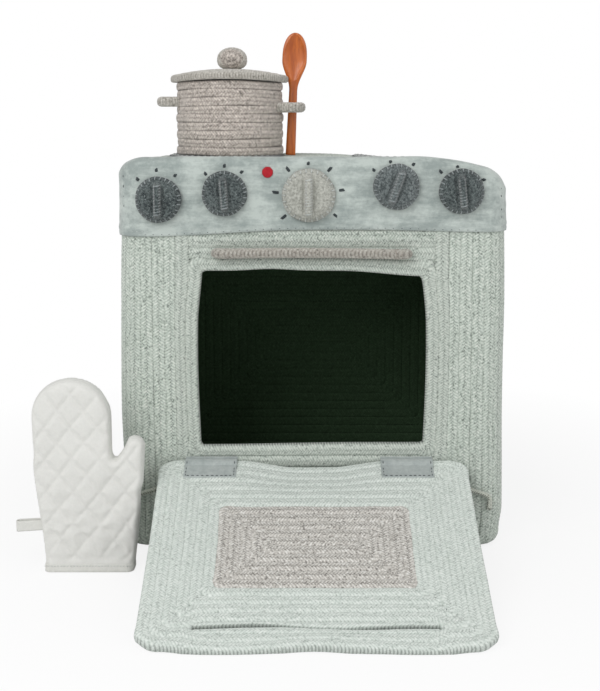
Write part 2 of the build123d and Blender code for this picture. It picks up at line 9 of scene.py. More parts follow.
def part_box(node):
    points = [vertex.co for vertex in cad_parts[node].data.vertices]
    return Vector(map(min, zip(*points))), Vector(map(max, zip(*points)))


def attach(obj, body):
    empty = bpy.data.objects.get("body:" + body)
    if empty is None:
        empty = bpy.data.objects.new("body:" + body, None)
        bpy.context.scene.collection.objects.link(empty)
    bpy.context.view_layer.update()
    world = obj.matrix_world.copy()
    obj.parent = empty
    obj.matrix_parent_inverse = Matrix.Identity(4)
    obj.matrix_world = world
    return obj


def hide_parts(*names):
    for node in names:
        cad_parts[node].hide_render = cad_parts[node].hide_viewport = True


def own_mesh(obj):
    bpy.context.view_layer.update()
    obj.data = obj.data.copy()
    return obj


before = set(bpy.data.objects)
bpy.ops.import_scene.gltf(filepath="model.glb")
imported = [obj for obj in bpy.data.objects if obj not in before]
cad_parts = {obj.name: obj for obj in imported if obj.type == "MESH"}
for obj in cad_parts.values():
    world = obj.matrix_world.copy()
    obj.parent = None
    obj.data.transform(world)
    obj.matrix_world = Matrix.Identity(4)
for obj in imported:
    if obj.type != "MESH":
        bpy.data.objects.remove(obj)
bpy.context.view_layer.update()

MM = 0.001
TURN = 2 * math.pi
rng = np.random.default_rng(11)


def node_box(node):
    """Lowest and highest corner of a frame node, in millimetres."""
    low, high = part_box(node)
    return np.array(low) / MM, np.array(high) / MM


def node_middle(node):
    """Middle of a frame node, and half its size each way."""
    low, high = node_box(node)
    return (low + high) / 2, (high - low) / 2


# ---------------------------------------------------------------- sizes taken from the frame
front_low, front_high = node_box("front_wall")
hob_low, hob_high = node_box("hob_top")
opening_low, opening_high = node_box("opening_frame")

FRONT_Y = front_low[1]
BACK_Y = -FRONT_Y
HEIGHT = hob_high[2]
WALL = hob_high[2] - hob_low[2]
TOP_HALF = hob_high[0]
FLARE = node_box("base_panel")[1][0] - TOP_HALF
UPRIGHT_RADIUS = 28.0     # the body's upright corners
BASE_RADIUS = 13.0        # where the walls turn under
TOP_RADIUS = 7.0          # where the front meets the hob
MIDDLE_HALF = TOP_HALF - UPRIGHT_RADIUS
SIDE_HALF = BACK_Y - UPRIGHT_RADIUS
CORNER_ARC = UPRIGHT_RADIUS * math.pi / 2

ROW = 12.6                # width of one braid row of the body
STRAND = 5.2              # length of one plait along a row
STEPS_PER_STRAND = 4
SQUEEZE = 1.3             # how far sewn rows press into each other
FRAME_ROWS_HALF = 151.0   # from the middle to the outer edge of the frame's second row


# ---------------------------------------------------------------- shader maths
class Socket:
    """A shader socket that does sums: every operator adds the Math node for it."""

    def __init__(self, tree, link=None):
        self.tree = tree
        self.link = link

    def make(self, kind, settings=None, output=0, **values):
        """Add a node from its type, its settings, and the values or links of its sockets."""
        node = self.tree.nodes.new(kind)
        for key, value in (settings or {}).items():
            setattr(node, key, value)
        for key, value in values.items():
            target = node.inputs[int(key[1:]) if key[1:].isdigit() else key.replace("_", " ")]
            if isinstance(value, Socket):
                self.tree.links.new(value.link, target)
            else:
                target.default_value = value
        return Socket(self.tree, node.outputs[output])

    def beside(self, output):
        """Another output of this socket's node."""
        return Socket(self.tree, self.link.node.outputs[output])

    def maths(self, operation, *others, clamp=False):
        """A Math node on this socket and any other values."""
        values = {f"i{at}": value for at, value in enumerate((self,) + others)}
        return self.make("ShaderNodeMath", {"operation": operation, "use_clamp": clamp}, **values)

    def noise(self, scale, detail=2.0, **more):
        """Noise over the places that this socket gives."""
        return self.make("ShaderNodeTexNoise", Vector=self, Scale=scale, Detail=detail, **more)

    def mix(self, first, second):
        """Two colours, each fixed or a socket, mixed by this factor."""
        return self.make("ShaderNodeMix", {"data_type": "RGBA"}, output=2, i0=self, i6=first, i7=second)

    def __add__(self, other):
        return self.maths("ADD", other)

    def __mul__(self, other):
        return self.maths("MULTIPLY", other)

    def __sub__(self, other):
        return self.maths("SUBTRACT", other)

    def __rsub__(self, other):
        return (self * -1.0) + other

    def __pow__(self, other):
        return self.maths("POWER", other)

    def __abs__(self):
        return self.maths("ABSOLUTE")

    __radd__ = __add__
    __rmul__ = __mul__

    def clamped(self):
        """This value kept between 0 and 1."""
        return self.maths("ADD", 0.0, clamp=True)

    def fraction(self):
        """What is left of this value above its whole number."""
        return self.maths("FRACT")

    def wave(self):
        """The sine of this value."""
        return self.maths("SINE")


def linear(colour):
    """Screen colour, 0 to 255, as the linear colour a shader takes."""
    shares = [value / 255 for value in colour]
    return tuple(v / 12.92 if v <= 0.04045 else ((v + 0.055) / 1.055) ** 2.4 for v in shares) + (1.0,)


def darker(colour, share):
    """A linear colour with only a share of its light."""
    return tuple(value * share for value in colour[:3]) + (1.0,)


def new_material(name):
    """An empty material, and the place on the object that its patterns start from."""
    material = bpy.data.materials.new(name)
    material.use_nodes = True
    return material, Socket(material.node_tree).make("ShaderNodeTexCoord", output=3)


def dress(material, colour, roughness, relief, strength, distance, **fixed):
    """Give a material its colour, roughness and fine relief, and its fixed values."""
    shader = next(node for node in material.node_tree.nodes if node.type == "BSDF_PRINCIPLED")
    bump = relief.make("ShaderNodeBump", Strength=strength, Distance=distance, Height=relief)
    for socket, value in (("Base Color", colour), ("Roughness", roughness), ("Normal", bump)):
        material.node_tree.links.new(value.link, shader.inputs[socket])
    for socket, value in fixed.items():
        shader.inputs[socket.replace("_", " ")].default_value = value
    return material


def braid_finish(name, yarn, shade, fleck, fleck_share=0.6, pit_shade_strength=1.0, edge_shade=0.12, sheen=0.2):
    """Plaited cotton yarn in mixed tones, with painted shade in the pits where the plaits turn under, along
    the row edges and between the plaits, and painted highlights on the plaits' crowns.
    """
    material, place = new_material(name)
    yarn, shade, fleck = linear(yarn), linear(shade), linear(fleck)
    # dark: the colour of the painted shade in pits and grooves, and of the dark specks in the yarn
    dark = darker(shade, 0.22)
    along = place.make("ShaderNodeSeparateXYZ", Vector=place.make("ShaderNodeUVMap", {"uv_map": "cord"}))
    turn = (along.beside(1) * TURN).maths("COSINE")
    across = abs(turn)
    phase = (along * 1.5 + across * 1.4 + turn.maths("GREATER_THAN", 0.0) * 0.5).fraction()
    gap = abs(phase * 2.0 - 1.0)
    row_edge = across ** 5.0
    row_middle = (1.0 - across) ** 4.0
    soft = place.noise(30.0)
    grain = place.noise(300.0, 3.0, Roughness=0.75)
    spots = place.noise(410.0, 1.0)
    # painted shade: darker in the pits at each row's edge and middle, along the row edges and where the
    # plaits meet
    pit_shade_mask = (row_edge + row_middle * 0.8) * (gap ** 1.8) * ((grain - 0.2) * 5.0).clamped()
    groove = (pit_shade_mask * pit_shade_strength + row_edge * edge_shade + (gap ** 4.0) * 0.12).clamped()
    # painted highlight: light fleck colour laid on the plaits' raised crowns, broken up by noise
    crest = ((1.0 - gap) ** 2.0) * (across * (1.0 - across) * 4.0) * ((spots - 0.36) * 5.0).clamped()
    tone = (soft - 0.5) * 0.4 + (grain - 0.5) * 2.1 + 0.55
    cotton = tone.clamped().mix(shade, yarn)
    cotton = (((spots - 0.58) * 11.0).clamped() * fleck_share).mix(cotton, fleck)
    cotton = (crest * fleck_share * 0.8).mix(cotton, fleck)
    cotton = (((0.39 - spots) * 12.0).clamped() * fleck_share).mix(cotton, dark)
    yarns = ((along * 3.0 - across * 2.6) * TURN).wave()
    return dress(
        material, groove.mix(cotton, dark), grain * 0.12 + 0.84, yarns * 0.2 + grain * 1.2 - gap * 0.25,
        0.5, 0.0006, Sheen_Weight=sheen, Sheen_Roughness=0.6, Specular_IOR_Level=0.15,
    )


def felt_finish(name, body, light, dark, fibre=0.8, grain=170.0, streaks=0.0):
    """Pressed wool felt: matted fibres, faint lighter lint and a soft bloom."""
    material, place = new_material(name)
    matted = place.noise(grain, 4.0, Roughness=0.75)
    hairs = place.noise(620.0, 3.0, Roughness=0.8, Distortion=1.6)
    patches = place.noise(26.0)
    tone = (matted - 0.5) * (1.9 * fibre) + (patches - 0.5) * 0.8 + 0.5
    if streaks:
        combed = place.make("ShaderNodeMapping", Vector=place, Scale=(0.2, 1.0, 1.0))
        brushed = combed.noise(120.0, 4.0, Roughness=0.7)
        tone = tone + (brushed - 0.5) * streaks + (patches - 0.5) * (streaks * 0.75)
    cloth = tone.clamped().mix(linear(dark), linear(body))
    lint = ((hairs - 0.6) * 7.0).clamped() * (0.5 * fibre)
    return dress(
        material, lint.mix(cloth, linear(light)), hairs * 0.1 + 0.86, matted * 0.9 + hairs * 0.7,
        0.6, 0.0007, Sheen_Weight=0.4, Sheen_Roughness=0.5, Specular_IOR_Level=0.12,
    )


def woven_finish(name, warp_colour, weft_colour, threads_per_metre, crease=0.25):
    """Plain-woven cotton: over-and-under threads with slubs, and shade in its creases."""
    material, place = new_material(name)
    sideways = place.make("ShaderNodeSeparateXYZ", Vector=place)
    wander = place.noise(60.0)
    turns = threads_per_metre * math.pi
    warp, weft = (abs(((way * turns) + wander * 2.0).wave()) for way in (sideways, sideways.beside(2)))
    weave = warp * weft
    slubs = place.noise(300.0, 3.0, Roughness=0.7)
    soft = place.noise(18.0, 3.0)
    tone = weave * 0.5 + (slubs - 0.5) * 0.5 + (soft - 0.5) * crease + 0.35
    return dress(
        material, tone.clamped().mix(linear(weft_colour), linear(warp_colour)), slubs * 0.1 + 0.84,
        weave + slubs * 0.8 + soft * 0.6, 0.5, 0.0004, Sheen_Weight=0.2, Specular_IOR_Level=0.15,
    )


def wood_finish(name, pale, brown, dark):
    """Oiled wood with its grain along the spoon."""
    material, place = new_material(name)
    stretched = place.make("ShaderNodeMapping", Vector=place, Scale=(1.0, 1.0, 0.07))
    grain = stretched.noise(900.0, 4.0, Roughness=0.6)
    bands = stretched.noise(190.0, Distortion=1.2)
    tone = (bands - 0.5) * 1.3 + (place.noise(30.0) - 0.5) * 0.6 + 0.5
    wood = tone.clamped().mix(linear(brown), linear(pale))
    lines = ((grain - 0.56) * 6.0).clamped() * 0.6
    return dress(
        material, lines.mix(wood, linear(dark)), grain * 0.2 + 0.32, grain + bands * 0.5,
        0.25, 0.0002, Specular_IOR_Level=0.45, Coat_Weight=0.35, Coat_Roughness=0.14,
    )


def plastic_finish(name, colour):
    """Moulded plastic with a fine spark-eroded texture."""
    material, place = new_material(name)
    grain = place.noise(1500.0)
    body = linear(colour)
    return dress(material, (grain * 0.3).mix(body, darker(body, 0.8)), grain * 0.1 + 0.4, grain, 0.15, 0.0001)


KNOB_GRAIN = 430.0
FINISH = {
    # yarn, its shaded side and its flecks
    "sage": braid_finish("sage braid", (210, 219, 210), (168, 180, 169), (231, 235, 227)),
    "frame": braid_finish("pale sage braid", (204, 212, 203), (172, 182, 173), (222, 226, 218)),
    "door": braid_finish("door braid", (231, 238, 232), (196, 207, 199), (252, 255, 251), 0.35, 0.6, 0.1),
    "window": braid_finish("greige braid", (227, 224, 217), (170, 165, 158), (245, 244, 240), 0.7, 1.2),
    "dark": braid_finish("dark green braid", (71, 96, 69), (50, 68, 48), (93, 117, 90), 0.2, 0.3, sheen=0.0),
    "bar": braid_finish("bar braid", (190, 187, 178), (150, 143, 134), (211, 209, 201), pit_shade_strength=0.45),
    "pot": braid_finish("pot braid", (210, 201, 193), (157, 148, 139), (238, 229, 220), 0.6, 1.2, 0.6),
    "cord": braid_finish("thin cord", (214, 218, 206), (180, 186, 172), (232, 234, 226)),
    "pot_cord": braid_finish("pot cord", (206, 202, 194), (166, 161, 150), (230, 227, 220), pit_shade_strength=0.4),
    # the felt's own colour, its lint and its dark fibres
    "panel": felt_finish("panel felt", (192, 201, 196), (223, 229, 225), (153, 163, 160), 0.9, streaks=2.6),
    "strap": felt_finish("strap felt", (191, 198, 195), (222, 227, 225), (150, 159, 158), 0.8),
    "knob": felt_finish("dark knob felt", (104, 113, 112), (191, 200, 201), (43, 50, 52), 2.6, KNOB_GRAIN),
    "worn_knob": felt_finish(
        "worn knob felt", (124, 132, 132), (196, 204, 205), (62, 69, 70), 2.4, KNOB_GRAIN,
    ),
    "main_knob": felt_finish(
        "greige knob felt", (192, 193, 185), (229, 231, 224), (146, 147, 139), 2.3, KNOB_GRAIN,
    ),
    "burner": felt_finish("burner felt", (92, 99, 98), (128, 134, 133), (62, 68, 68), 1.0),
    "red": felt_finish("red felt", (190, 42, 53), (208, 90, 96), (145, 21, 31), 0.7),
    "thread": felt_finish("dark thread", (70, 78, 80), (104, 112, 114), (46, 52, 54), 0.6),
    "knob_thread": felt_finish(
        "knob thread", (170, 178, 179), (205, 210, 211), (120, 128, 130), 1.6, KNOB_GRAIN,
    ),
    "pale_thread": felt_finish("pale thread", (214, 218, 214), (232, 235, 232), (180, 186, 182)),
    "bar_thread": felt_finish("bar thread", (168, 161, 152), (196, 189, 180), (131, 123, 114)),
    "cotton": woven_finish("quilted cotton", (241, 241, 237), (211, 211, 206), 900.0),
    "tape": woven_finish("cotton tape", (241, 241, 236), (208, 208, 202), 1100.0),
    "wood": wood_finish("oiled wood", (209, 111, 31), (158, 72, 15), (112, 46, 6)),
    "plastic": plastic_finish("joint plastic", (226, 223, 214)),
}


# ---------------------------------------------------------------- shapes and paths
def smooth_step(value, low, high):
    """0 below low, 1 above high, and an easy curve between."""
    share = np.clip((value - low) / (high - low), 0.0, 1.0)
    return share * share * (3 - 2 * share)


def unit(vectors):
    """Each vector at length one."""
    return vectors / np.linalg.norm(vectors, axis=-1, keepdims=True)


def spokes_of(count):
    """Angles spread evenly over one full turn."""
    return np.linspace(0, TURN, count, endpoint=False)


def travelled(path):
    """Distance gone along a path at each of its points."""
    return np.concatenate([[0], np.cumsum(np.linalg.norm(np.diff(path, axis=0), axis=1))])


def lying(loop, z):
    """A plane loop laid level at a height."""
    return np.column_stack([loop, np.full(len(loop), z)])


def standing(loop, y):
    """A plane loop stood upright, parallel to the front."""
    return np.column_stack([loop[:, 0], np.full(len(loop), y), loop[:, 1]])


HOB_SAG = 15.0
FEET_REACH = 70.0     # from the pot's middle to the spoon


def hob_sag(points):
    """How far the hob sags towards the back, away from the pot's and the spoon's feet."""
    x, y = points[:, 0], points[:, 1]
    beside = np.hypot(x - np.clip(x, POT_X, POT_X + FEET_REACH), y - POT_Y)
    return HOB_SAG * smooth_step(y, -140.0, 80.0) * smooth_step(beside, 66.0, 128.0)


CORNER_DROOPS = (     # depth, side, where it starts, over what length, and how many lengths it goes on
    (13.5, 1, 110.0, 90.0, 1.15), (9.0, 1, 188.0, 24.0, 1.05), (10.0, -1, 182.0, 30.0, 1.05),
)


def settle(points):
    """The soft sag of the filled body: its corners droop, its top rolls back and its sides belly out."""
    moved = points.copy()
    x, y, z = points.T
    droop = sum(
        depth * np.clip((side * x - start) / length, 0.0, most) ** 2
        for depth, side, start, length, most in CORNER_DROOPS
    )
    moved[:, 2] -= (droop + hob_sag(points)) * smooth_step(z, HEIGHT - 75.0, HEIGHT)
    moved[:, 1] += 4.5 * smooth_step(z, 395.0, 445.0) ** 2 * smooth_step(-y, 110.0, 150.0)
    rim = smooth_step(np.abs(x), 150.0, TOP_HALF)
    right = 3.4 * smooth_step(z, 15.0, 45.0) * (1 - 0.5 * smooth_step(z, 260.0, 400.0))
    left = 2.4 * smooth_step(z, 60.0, 160.0) * (1 - smooth_step(z, 300.0, 400.0))
    moved[:, 0] += np.where(x > 0, right, -left) * rim
    moved[:, 0] += 0.7 * np.sin(z / 47.0 + 1.0) * smooth_step(np.abs(x), 170.0, TOP_HALF)
    return moved


def build(name, points, faces, finish=None, uvs=None, smooth=True):
    """Make one mesh object from points in millimetres and groups of faces."""
    mesh = bpy.data.meshes.new(name)
    groups = [np.asarray(group, np.int64) for group in (faces if isinstance(faces, list) else [faces])]
    sizes = np.concatenate([np.full(len(group), group.shape[1]) for group in groups])
    corners = np.concatenate([group.ravel() for group in groups])
    mesh.vertices.add(len(points))
    mesh.vertices.foreach_set("co", (np.asarray(points, float) * MM).ravel())
    mesh.loops.add(len(corners))
    mesh.loops.foreach_set("vertex_index", corners.astype(np.int32))
    mesh.polygons.add(len(sizes))
    mesh.polygons.foreach_set("loop_start", np.concatenate([[0], np.cumsum(sizes)[:-1]]).astype(np.int32))
    mesh.polygons.foreach_set("use_smooth", np.full(len(sizes), smooth))
    mesh.update(calc_edges=True)
    mesh.validate()
    if uvs is not None and len(mesh.loops) == len(corners):
        mesh.uv_layers.new(name="cord").data.foreach_set("uv", np.asarray(uvs, float).ravel())
    if finish:
        mesh.materials.append(FINISH[finish])
    return place_in_scene(bpy.data.objects.new(name, mesh))


def place_in_scene(thing):
    """Link an object to the scene and hand it back."""
    bpy.context.scene.collection.objects.link(thing)
    return thing


def seated(piece, body, nodes=()):
    """Ride a piece on its body and let it stand for its frame nodes."""
    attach(piece, body)
    if nodes:
        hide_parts(*nodes)
    return piece


def cut_path(corners, step, closed=False):
    """Evenly spaced points along straight runs between corners."""
    corners = np.asarray(corners, float)
    if closed:
        corners = np.vstack([corners, corners[:1]])
    marks = travelled(corners)
    count = max(4, int(round(marks[-1] / step)))
    if closed:
        count = max(2, round(count / STEPS_PER_STRAND)) * STEPS_PER_STRAND
    places = np.linspace(0, marks[-1], count + 1)[: count if closed else count + 1]
    return np.column_stack([np.interp(places, marks, corners[:, axis]) for axis in range(3)])


def rounded_loop(low_u, high_u, low_v, high_v, radius, arc_steps=9):
    """Corners of a rounded rectangle in a plane, going round once."""
    radius = min(radius, (high_u - low_u) / 2 - 0.05, (high_v - low_v) / 2 - 0.05)
    points = []
    for quarter, (centre_u, centre_v) in enumerate((
        (high_u - radius, low_v + radius), (high_u - radius, high_v - radius),
        (low_u + radius, high_v - radius), (low_u + radius, low_v + radius),
    )):
        for angle in (quarter - 1 + np.linspace(0, 1, arc_steps + 1)) * math.pi / 2:
            points.append((centre_u + radius * math.cos(angle), centre_v + radius * math.sin(angle)))
    return np.array(points)


def rounded_route(corners, radii, step):
    """Points along straight runs joined by arcs, one radius for each inner corner."""
    corners = np.asarray(corners, float)
    points = [corners[0]]
    for before, corner, after, radius in zip(corners[:-2], corners[1:-1], corners[2:], radii):
        arrive, leave = unit(corner - before), unit(after - corner)
        half_turn = math.acos(np.clip(arrive @ leave, -1, 1)) / 2
        cut = radius * math.tan(half_turn)
        centre = corner + unit(leave - arrive) * radius / math.cos(half_turn)
        start, end = corner - arrive * cut, corner + leave * cut
        for share in np.linspace(0, 1, 9):
            points.append(centre + unit(start + (end - start) * share - centre) * radius)
    points.append(corners[-1])
    return cut_path(points, step)


def wobble(path, sideways, amount=0.5, wavelength=85.0):
    """A hand-sewn row wanders a little to its side, between still ends."""
    gone = travelled(path)
    shift = np.zeros(len(path))
    for harmonic in (1.0, 2.3):
        shift += np.sin(gone * TURN * harmonic / wavelength + rng.uniform(0, 6.28)) / harmonic
    still = np.clip(np.minimum(gone, gone[-1] - gone) / 20.0, 0, 1)
    return path + np.asarray(sideways)[None, :] * (shift * still * amount * 0.6)[:, None]


def waves(u, v, sizes, seed):
    """A few soft ripples added up, about one high."""
    source = np.random.default_rng(seed)
    total = np.zeros(np.broadcast(u, v).shape)
    for size in sizes:
        for _ in range(3):
            angle, phase = source.uniform(0, math.pi), source.uniform(0, TURN)
            total += np.sin((u * math.cos(angle) + v * math.sin(angle)) * TURN / size + phase) / 3
    return total / len(sizes)


def directions(path, outward, closed=False):
    """Ahead, sideways and outward at each point of a path."""
    if closed:
        ahead = unit(np.roll(path, -1, axis=0) - np.roll(path, 1, axis=0))
    else:
        ahead = unit(np.gradient(path, axis=0))
    side = unit(np.cross(ahead, np.broadcast_to(np.asarray(outward, float), path.shape)))
    return ahead, side, np.cross(side, ahead)


# ---------------------------------------------------------------- cords, thread and cloth
def tube_faces(rings, around, closed=False):
    """Quads between the rings of a tube, one ring after another."""
    row = np.arange(rings if closed else rings - 1)[:, None]
    column = np.arange(around)[None, :]
    here, ahead, beside = row * around, (row + 1) % rings * around, (column + 1) % around
    return np.stack([here + column, here + beside, ahead + beside, ahead + column], axis=-1).reshape(-1, 4)


def tube_ends(rings, around):
    """The two faces that close a tube."""
    return [np.arange(around)[::-1], np.arange(around) + (rings - 1) * around]


class Tubes:
    """Tubes gathered into one mesh, each added as its rings of points."""

    def __init__(self):
        self.points, self.faces, self.ends, self.uvs, self.end_uvs = [], [], [], [], []
        self.count = 0

    def add(self, rings, closed=False):
        """Add one tube, its ends closed unless it runs into itself."""
        total, around = rings.shape[:2]
        self.points.append(rings.reshape(-1, 3))
        self.faces.append(tube_faces(total, around, closed) + self.count)
        if not closed:
            self.ends += [end + self.count for end in tube_ends(total, around)]
        self.count += total * around

    def finish(self, name, finish, shape=None):
        """Make the mesh, its points put in place by a shape function."""
        points = np.vstack(self.points)
        groups = [np.vstack(self.faces)] + ([np.array(self.ends)] if self.ends else [])
        uvs = np.vstack(self.uvs + self.end_uvs) if self.uvs else None
        return build(name, shape(points) if shape else points, groups, finish, uvs)


class Coil(Tubes):
    """Braid cords: each is a flattened tube with the plaits raised on it."""

    def __init__(self, strand=STRAND, relief=0.3, front=8, back=3, flatness=0.4):
        super().__init__()
        self.strand = strand
        self.relief = relief
        self.flatness = flatness
        self.step = strand / STEPS_PER_STRAND
        outer = np.linspace(0, math.pi, front)
        inner = np.linspace(math.pi, TURN, back + 2)[1:-1]
        self.angles = np.concatenate([outer, inner])

    def corner_share(self, ahead, closed):
        """1 where a row turns a tight corner, so that it spreads to meet the next row there."""
        turning = np.arccos(np.clip((ahead * np.roll(ahead, -1, axis=0)).sum(axis=1), -1, 1))
        if not closed:
            turning[-1] = 0.0
        width = max(3, int(round(9.0 / self.step)) | 1)
        if closed:
            padded = np.concatenate([turning[-width:], turning, turning[:width]])
        else:
            padded = np.pad(turning, width)
        near = np.convolve(padded, np.ones(width), mode="same")[width:-width]
        return np.clip(near / 0.9, 0, 1)

    def plaits(self, total, both_sides):
        """How deep each point lies under the plaits' crests, in shares of the relief."""
        cosine, sine = np.cos(self.angles), np.sin(self.angles)
        index = np.arange(total)[:, None] / STEPS_PER_STRAND
        phase = index + (0.9 * np.abs(cosine) + np.where(cosine > 0, 0.5, 0.0))[None, :]
        crest = np.abs(np.sin(math.pi * phase)) ** 0.8
        centre_dip = np.exp(-((cosine / 0.16) ** 2)) * 0.3
        even_edge = 1 - 0.65 * np.abs(cosine) ** 6
        facing = 1.0 if both_sides else (sine >= -0.01).astype(float)
        return (1 - crest + centre_dip[None, :]) * (facing * even_edge)[None, :]

    def cord(self, path, outward, half_width, half_thickness, closed=False, both_sides=False, taper=3):
        """Add one cord along a path. outward is the face side, one vector or one for each point."""
        path = np.asarray(path, float)
        total = len(path)
        ahead, side, outward = directions(path, outward, closed)
        half_width, half_thickness = (np.full(total, half) for half in (half_width, half_thickness))
        if not closed:
            near_end = np.minimum(np.arange(total), np.arange(total)[::-1])
            close_up = np.sqrt(np.clip((near_end + 0.4) / taper, 0, 1))
            half_width, half_thickness = half_width * close_up, half_thickness * close_up
        half_width = half_width * (1 + 0.32 * self.corner_share(ahead, closed))
        cosine, sine = np.cos(self.angles), np.sin(self.angles)
        across = (np.sign(cosine) * np.abs(cosine) ** 0.95)[None, :]
        lift = (np.sign(sine) * np.abs(sine) ** self.flatness)[None, :]
        depth = self.relief * self.plaits(total, both_sides)
        width = half_width[:, None] * across - depth * across * 0.5
        rise = half_thickness[:, None] * lift - depth * lift
        spread = side[:, None] * width[..., None] + outward[:, None] * rise[..., None]
        self.add(path[:, None] + spread, closed)
        self.lay_pattern(total, closed)

    def lay_pattern(self, total, closed):
        """Where the yarn pattern lies: plaits along the cord, and a share of the turn round it."""
        along = (np.arange(total if closed else total - 1) / STEPS_PER_STRAND + rng.integers(0, 64))[:, None]
        turn = (self.angles / TURN)[None, :]
        turned = (np.append(self.angles[1:], TURN) / TURN)[None, :]
        further = along + 1 / STEPS_PER_STRAND
        corners = [(along, turn), (along, turned), (further, turned), (further, turn)]
        uv = np.stack([np.stack(np.broadcast_arrays(*corner), -1) for corner in corners], axis=2)
        self.uvs.append(uv.reshape(-1, 2))
        if not closed:
            self.end_uvs += [np.full((len(self.angles), 2), 0.25)] * 2


class Thread(Tubes):
    """Stitches: each is a short thin tube that dips into the cloth at both ends."""

    def __init__(self, radius=0.5):
        super().__init__()
        self.radius = radius
        self.angles = spokes_of(6)

    def run(self, path, outward):
        """A length of thread along a path."""
        path = np.asarray(path, float)
        _, side, up = directions(path, outward)
        sideways, upward = (wave(self.angles)[None, :, None] * self.radius for wave in (np.cos, np.sin))
        self.add(path[:, None] + side[:, None] * sideways + up[:, None] * upward)

    def stitch(self, start, end, outward, rise=0.55, dip=0.6):
        """One stitch from start to end, arched over the cloth."""
        start, end, outward = (np.asarray(value, float) for value in (start, end, outward))
        share = np.linspace(0, 1, 6)[:, None]
        height = np.sin(share * math.pi) ** 0.5 * (rise + dip) - dip
        self.run(start + (end - start) * share + outward * height, outward)

    def running_stitches(self, path, outward, length=4.0, gap=3.6):
        """Stitches end to end along a path, with gaps between them."""
        path = np.asarray(path, float)
        outward = np.broadcast_to(np.asarray(outward, float), path.shape)
        marks = travelled(path)
        at = gap / 2
        while at + length < marks[-1]:
            facing = outward[min(len(path) - 1, int(np.searchsorted(marks, at)))]
            ends = np.array([at, at + length * rng.uniform(0.9, 1.1)])
            start, end = np.column_stack([np.interp(ends, marks, path[:, axis]) for axis in range(3)])
            self.stitch(start, end, facing)
            at += (length + gap) * rng.uniform(0.92, 1.08)


def closed_sheet(name, outer, inner, finish, shape=None):
    """A thick sheet from two matching grids of points, closed all round its rim."""
    rows, columns = outer.shape[:2]
    points = np.vstack([outer.reshape(-1, 3), inner.reshape(-1, 3)])
    a = (np.arange(rows - 1)[:, None] * columns + np.arange(columns - 1)[None, :]).ravel()
    front = np.stack([a, a + 1, a + columns + 1, a + columns], -1)
    back = front[:, ::-1] + rows * columns
    rim = np.concatenate([
        np.arange(columns), np.arange(1, rows) * columns + columns - 1,
        (rows - 1) * columns + np.arange(columns - 2, -1, -1), np.arange(rows - 2, 0, -1) * columns,
    ])
    following = np.roll(rim, -1)
    edge = np.stack([following, rim, rim + rows * columns, following + rows * columns], -1)
    return build(name, shape(points) if shape else points, np.vstack([front, back, edge]), finish)


def line_normals(line):
    """Directions square to a plane line, to its right."""
    ahead = unit(np.gradient(line, axis=0))
    return np.column_stack([ahead[:, 1], -ahead[:, 0]])


# ---------------------------------------------------------------- stage, camera and light
FOCAL_PIXELS = 1163.0
LONG_SIDE_PIXELS = 691.0
SHIFT_PIXELS = (-12.0, -83.0)
CAMERA_AWAY, CAMERA_HEIGHT = 1269.0, 508.0     # from the front face, and above the floor
CAMERA_TILT = 8.0                              # degrees below level
KEY_LAMP = ((-0.9, -1.7, 1.5), (0, -0.15, 0.25), 1.4, 21.0)     # place, aim, size and power
FILL_LAMP = ((1.5, -1.2, 0.9), (0, -0.1, 0.2), 1.6, 7.0)


def set_camera():
    """Camera in front of the oven and a little above it."""
    camera = bpy.data.cameras.new("camera")
    camera.sensor_width = 36.0
    camera.lens = FOCAL_PIXELS * camera.sensor_width / LONG_SIDE_PIXELS
    camera.shift_x, camera.shift_y = (shift / LONG_SIDE_PIXELS for shift in SHIFT_PIXELS)
    camera.clip_start = 0.05
    holder = place_in_scene(bpy.data.objects.new("camera", camera))
    holder.location = (0.0, (FRONT_Y - CAMERA_AWAY) * MM, CAMERA_HEIGHT * MM)
    holder.rotation_euler = (math.radians(90 - CAMERA_TILT), 0, 0)
    bpy.context.scene.camera = holder


def finish_tree(tree, kind, surface):
    """Link a finished shader to the output of its node tree."""
    tree.links.new(surface.link, tree.nodes.new(kind).inputs["Surface"])


def set_light():
    """A bright plain room: an even white surround and two large soft lamps."""
    scene = bpy.context.scene
    scene.view_settings.view_transform = "Standard"
    world = scene.world = bpy.data.worlds.new("surround")
    world.use_nodes = True
    world.node_tree.nodes.clear()
    ray = Socket(world.node_tree).make("ShaderNodeLightPath")
    room, backdrop = (
        ray.make("ShaderNodeBackground", Color=(1, 1, 1, 1), Strength=strength) for strength in (0.52, 1.0)
    )
    seen = ray.maths("MAXIMUM", ray.beside("Is Glossy Ray"))
    mixed = ray.make("ShaderNodeMixShader", i0=seen, i1=room, i2=backdrop)
    finish_tree(world.node_tree, "ShaderNodeOutputWorld", mixed)
    for name, (place, aim, size, power) in (("key lamp", KEY_LAMP), ("fill lamp", FILL_LAMP)):
        lamp = bpy.data.lights.new(name, "AREA")
        lamp.energy = power
        lamp.size = size
        holder = place_in_scene(bpy.data.objects.new(name, lamp))
        holder.location = place
        holder.rotation_euler = (Vector(aim) - Vector(place)).to_track_quat("-Z", "Y").to_euler()


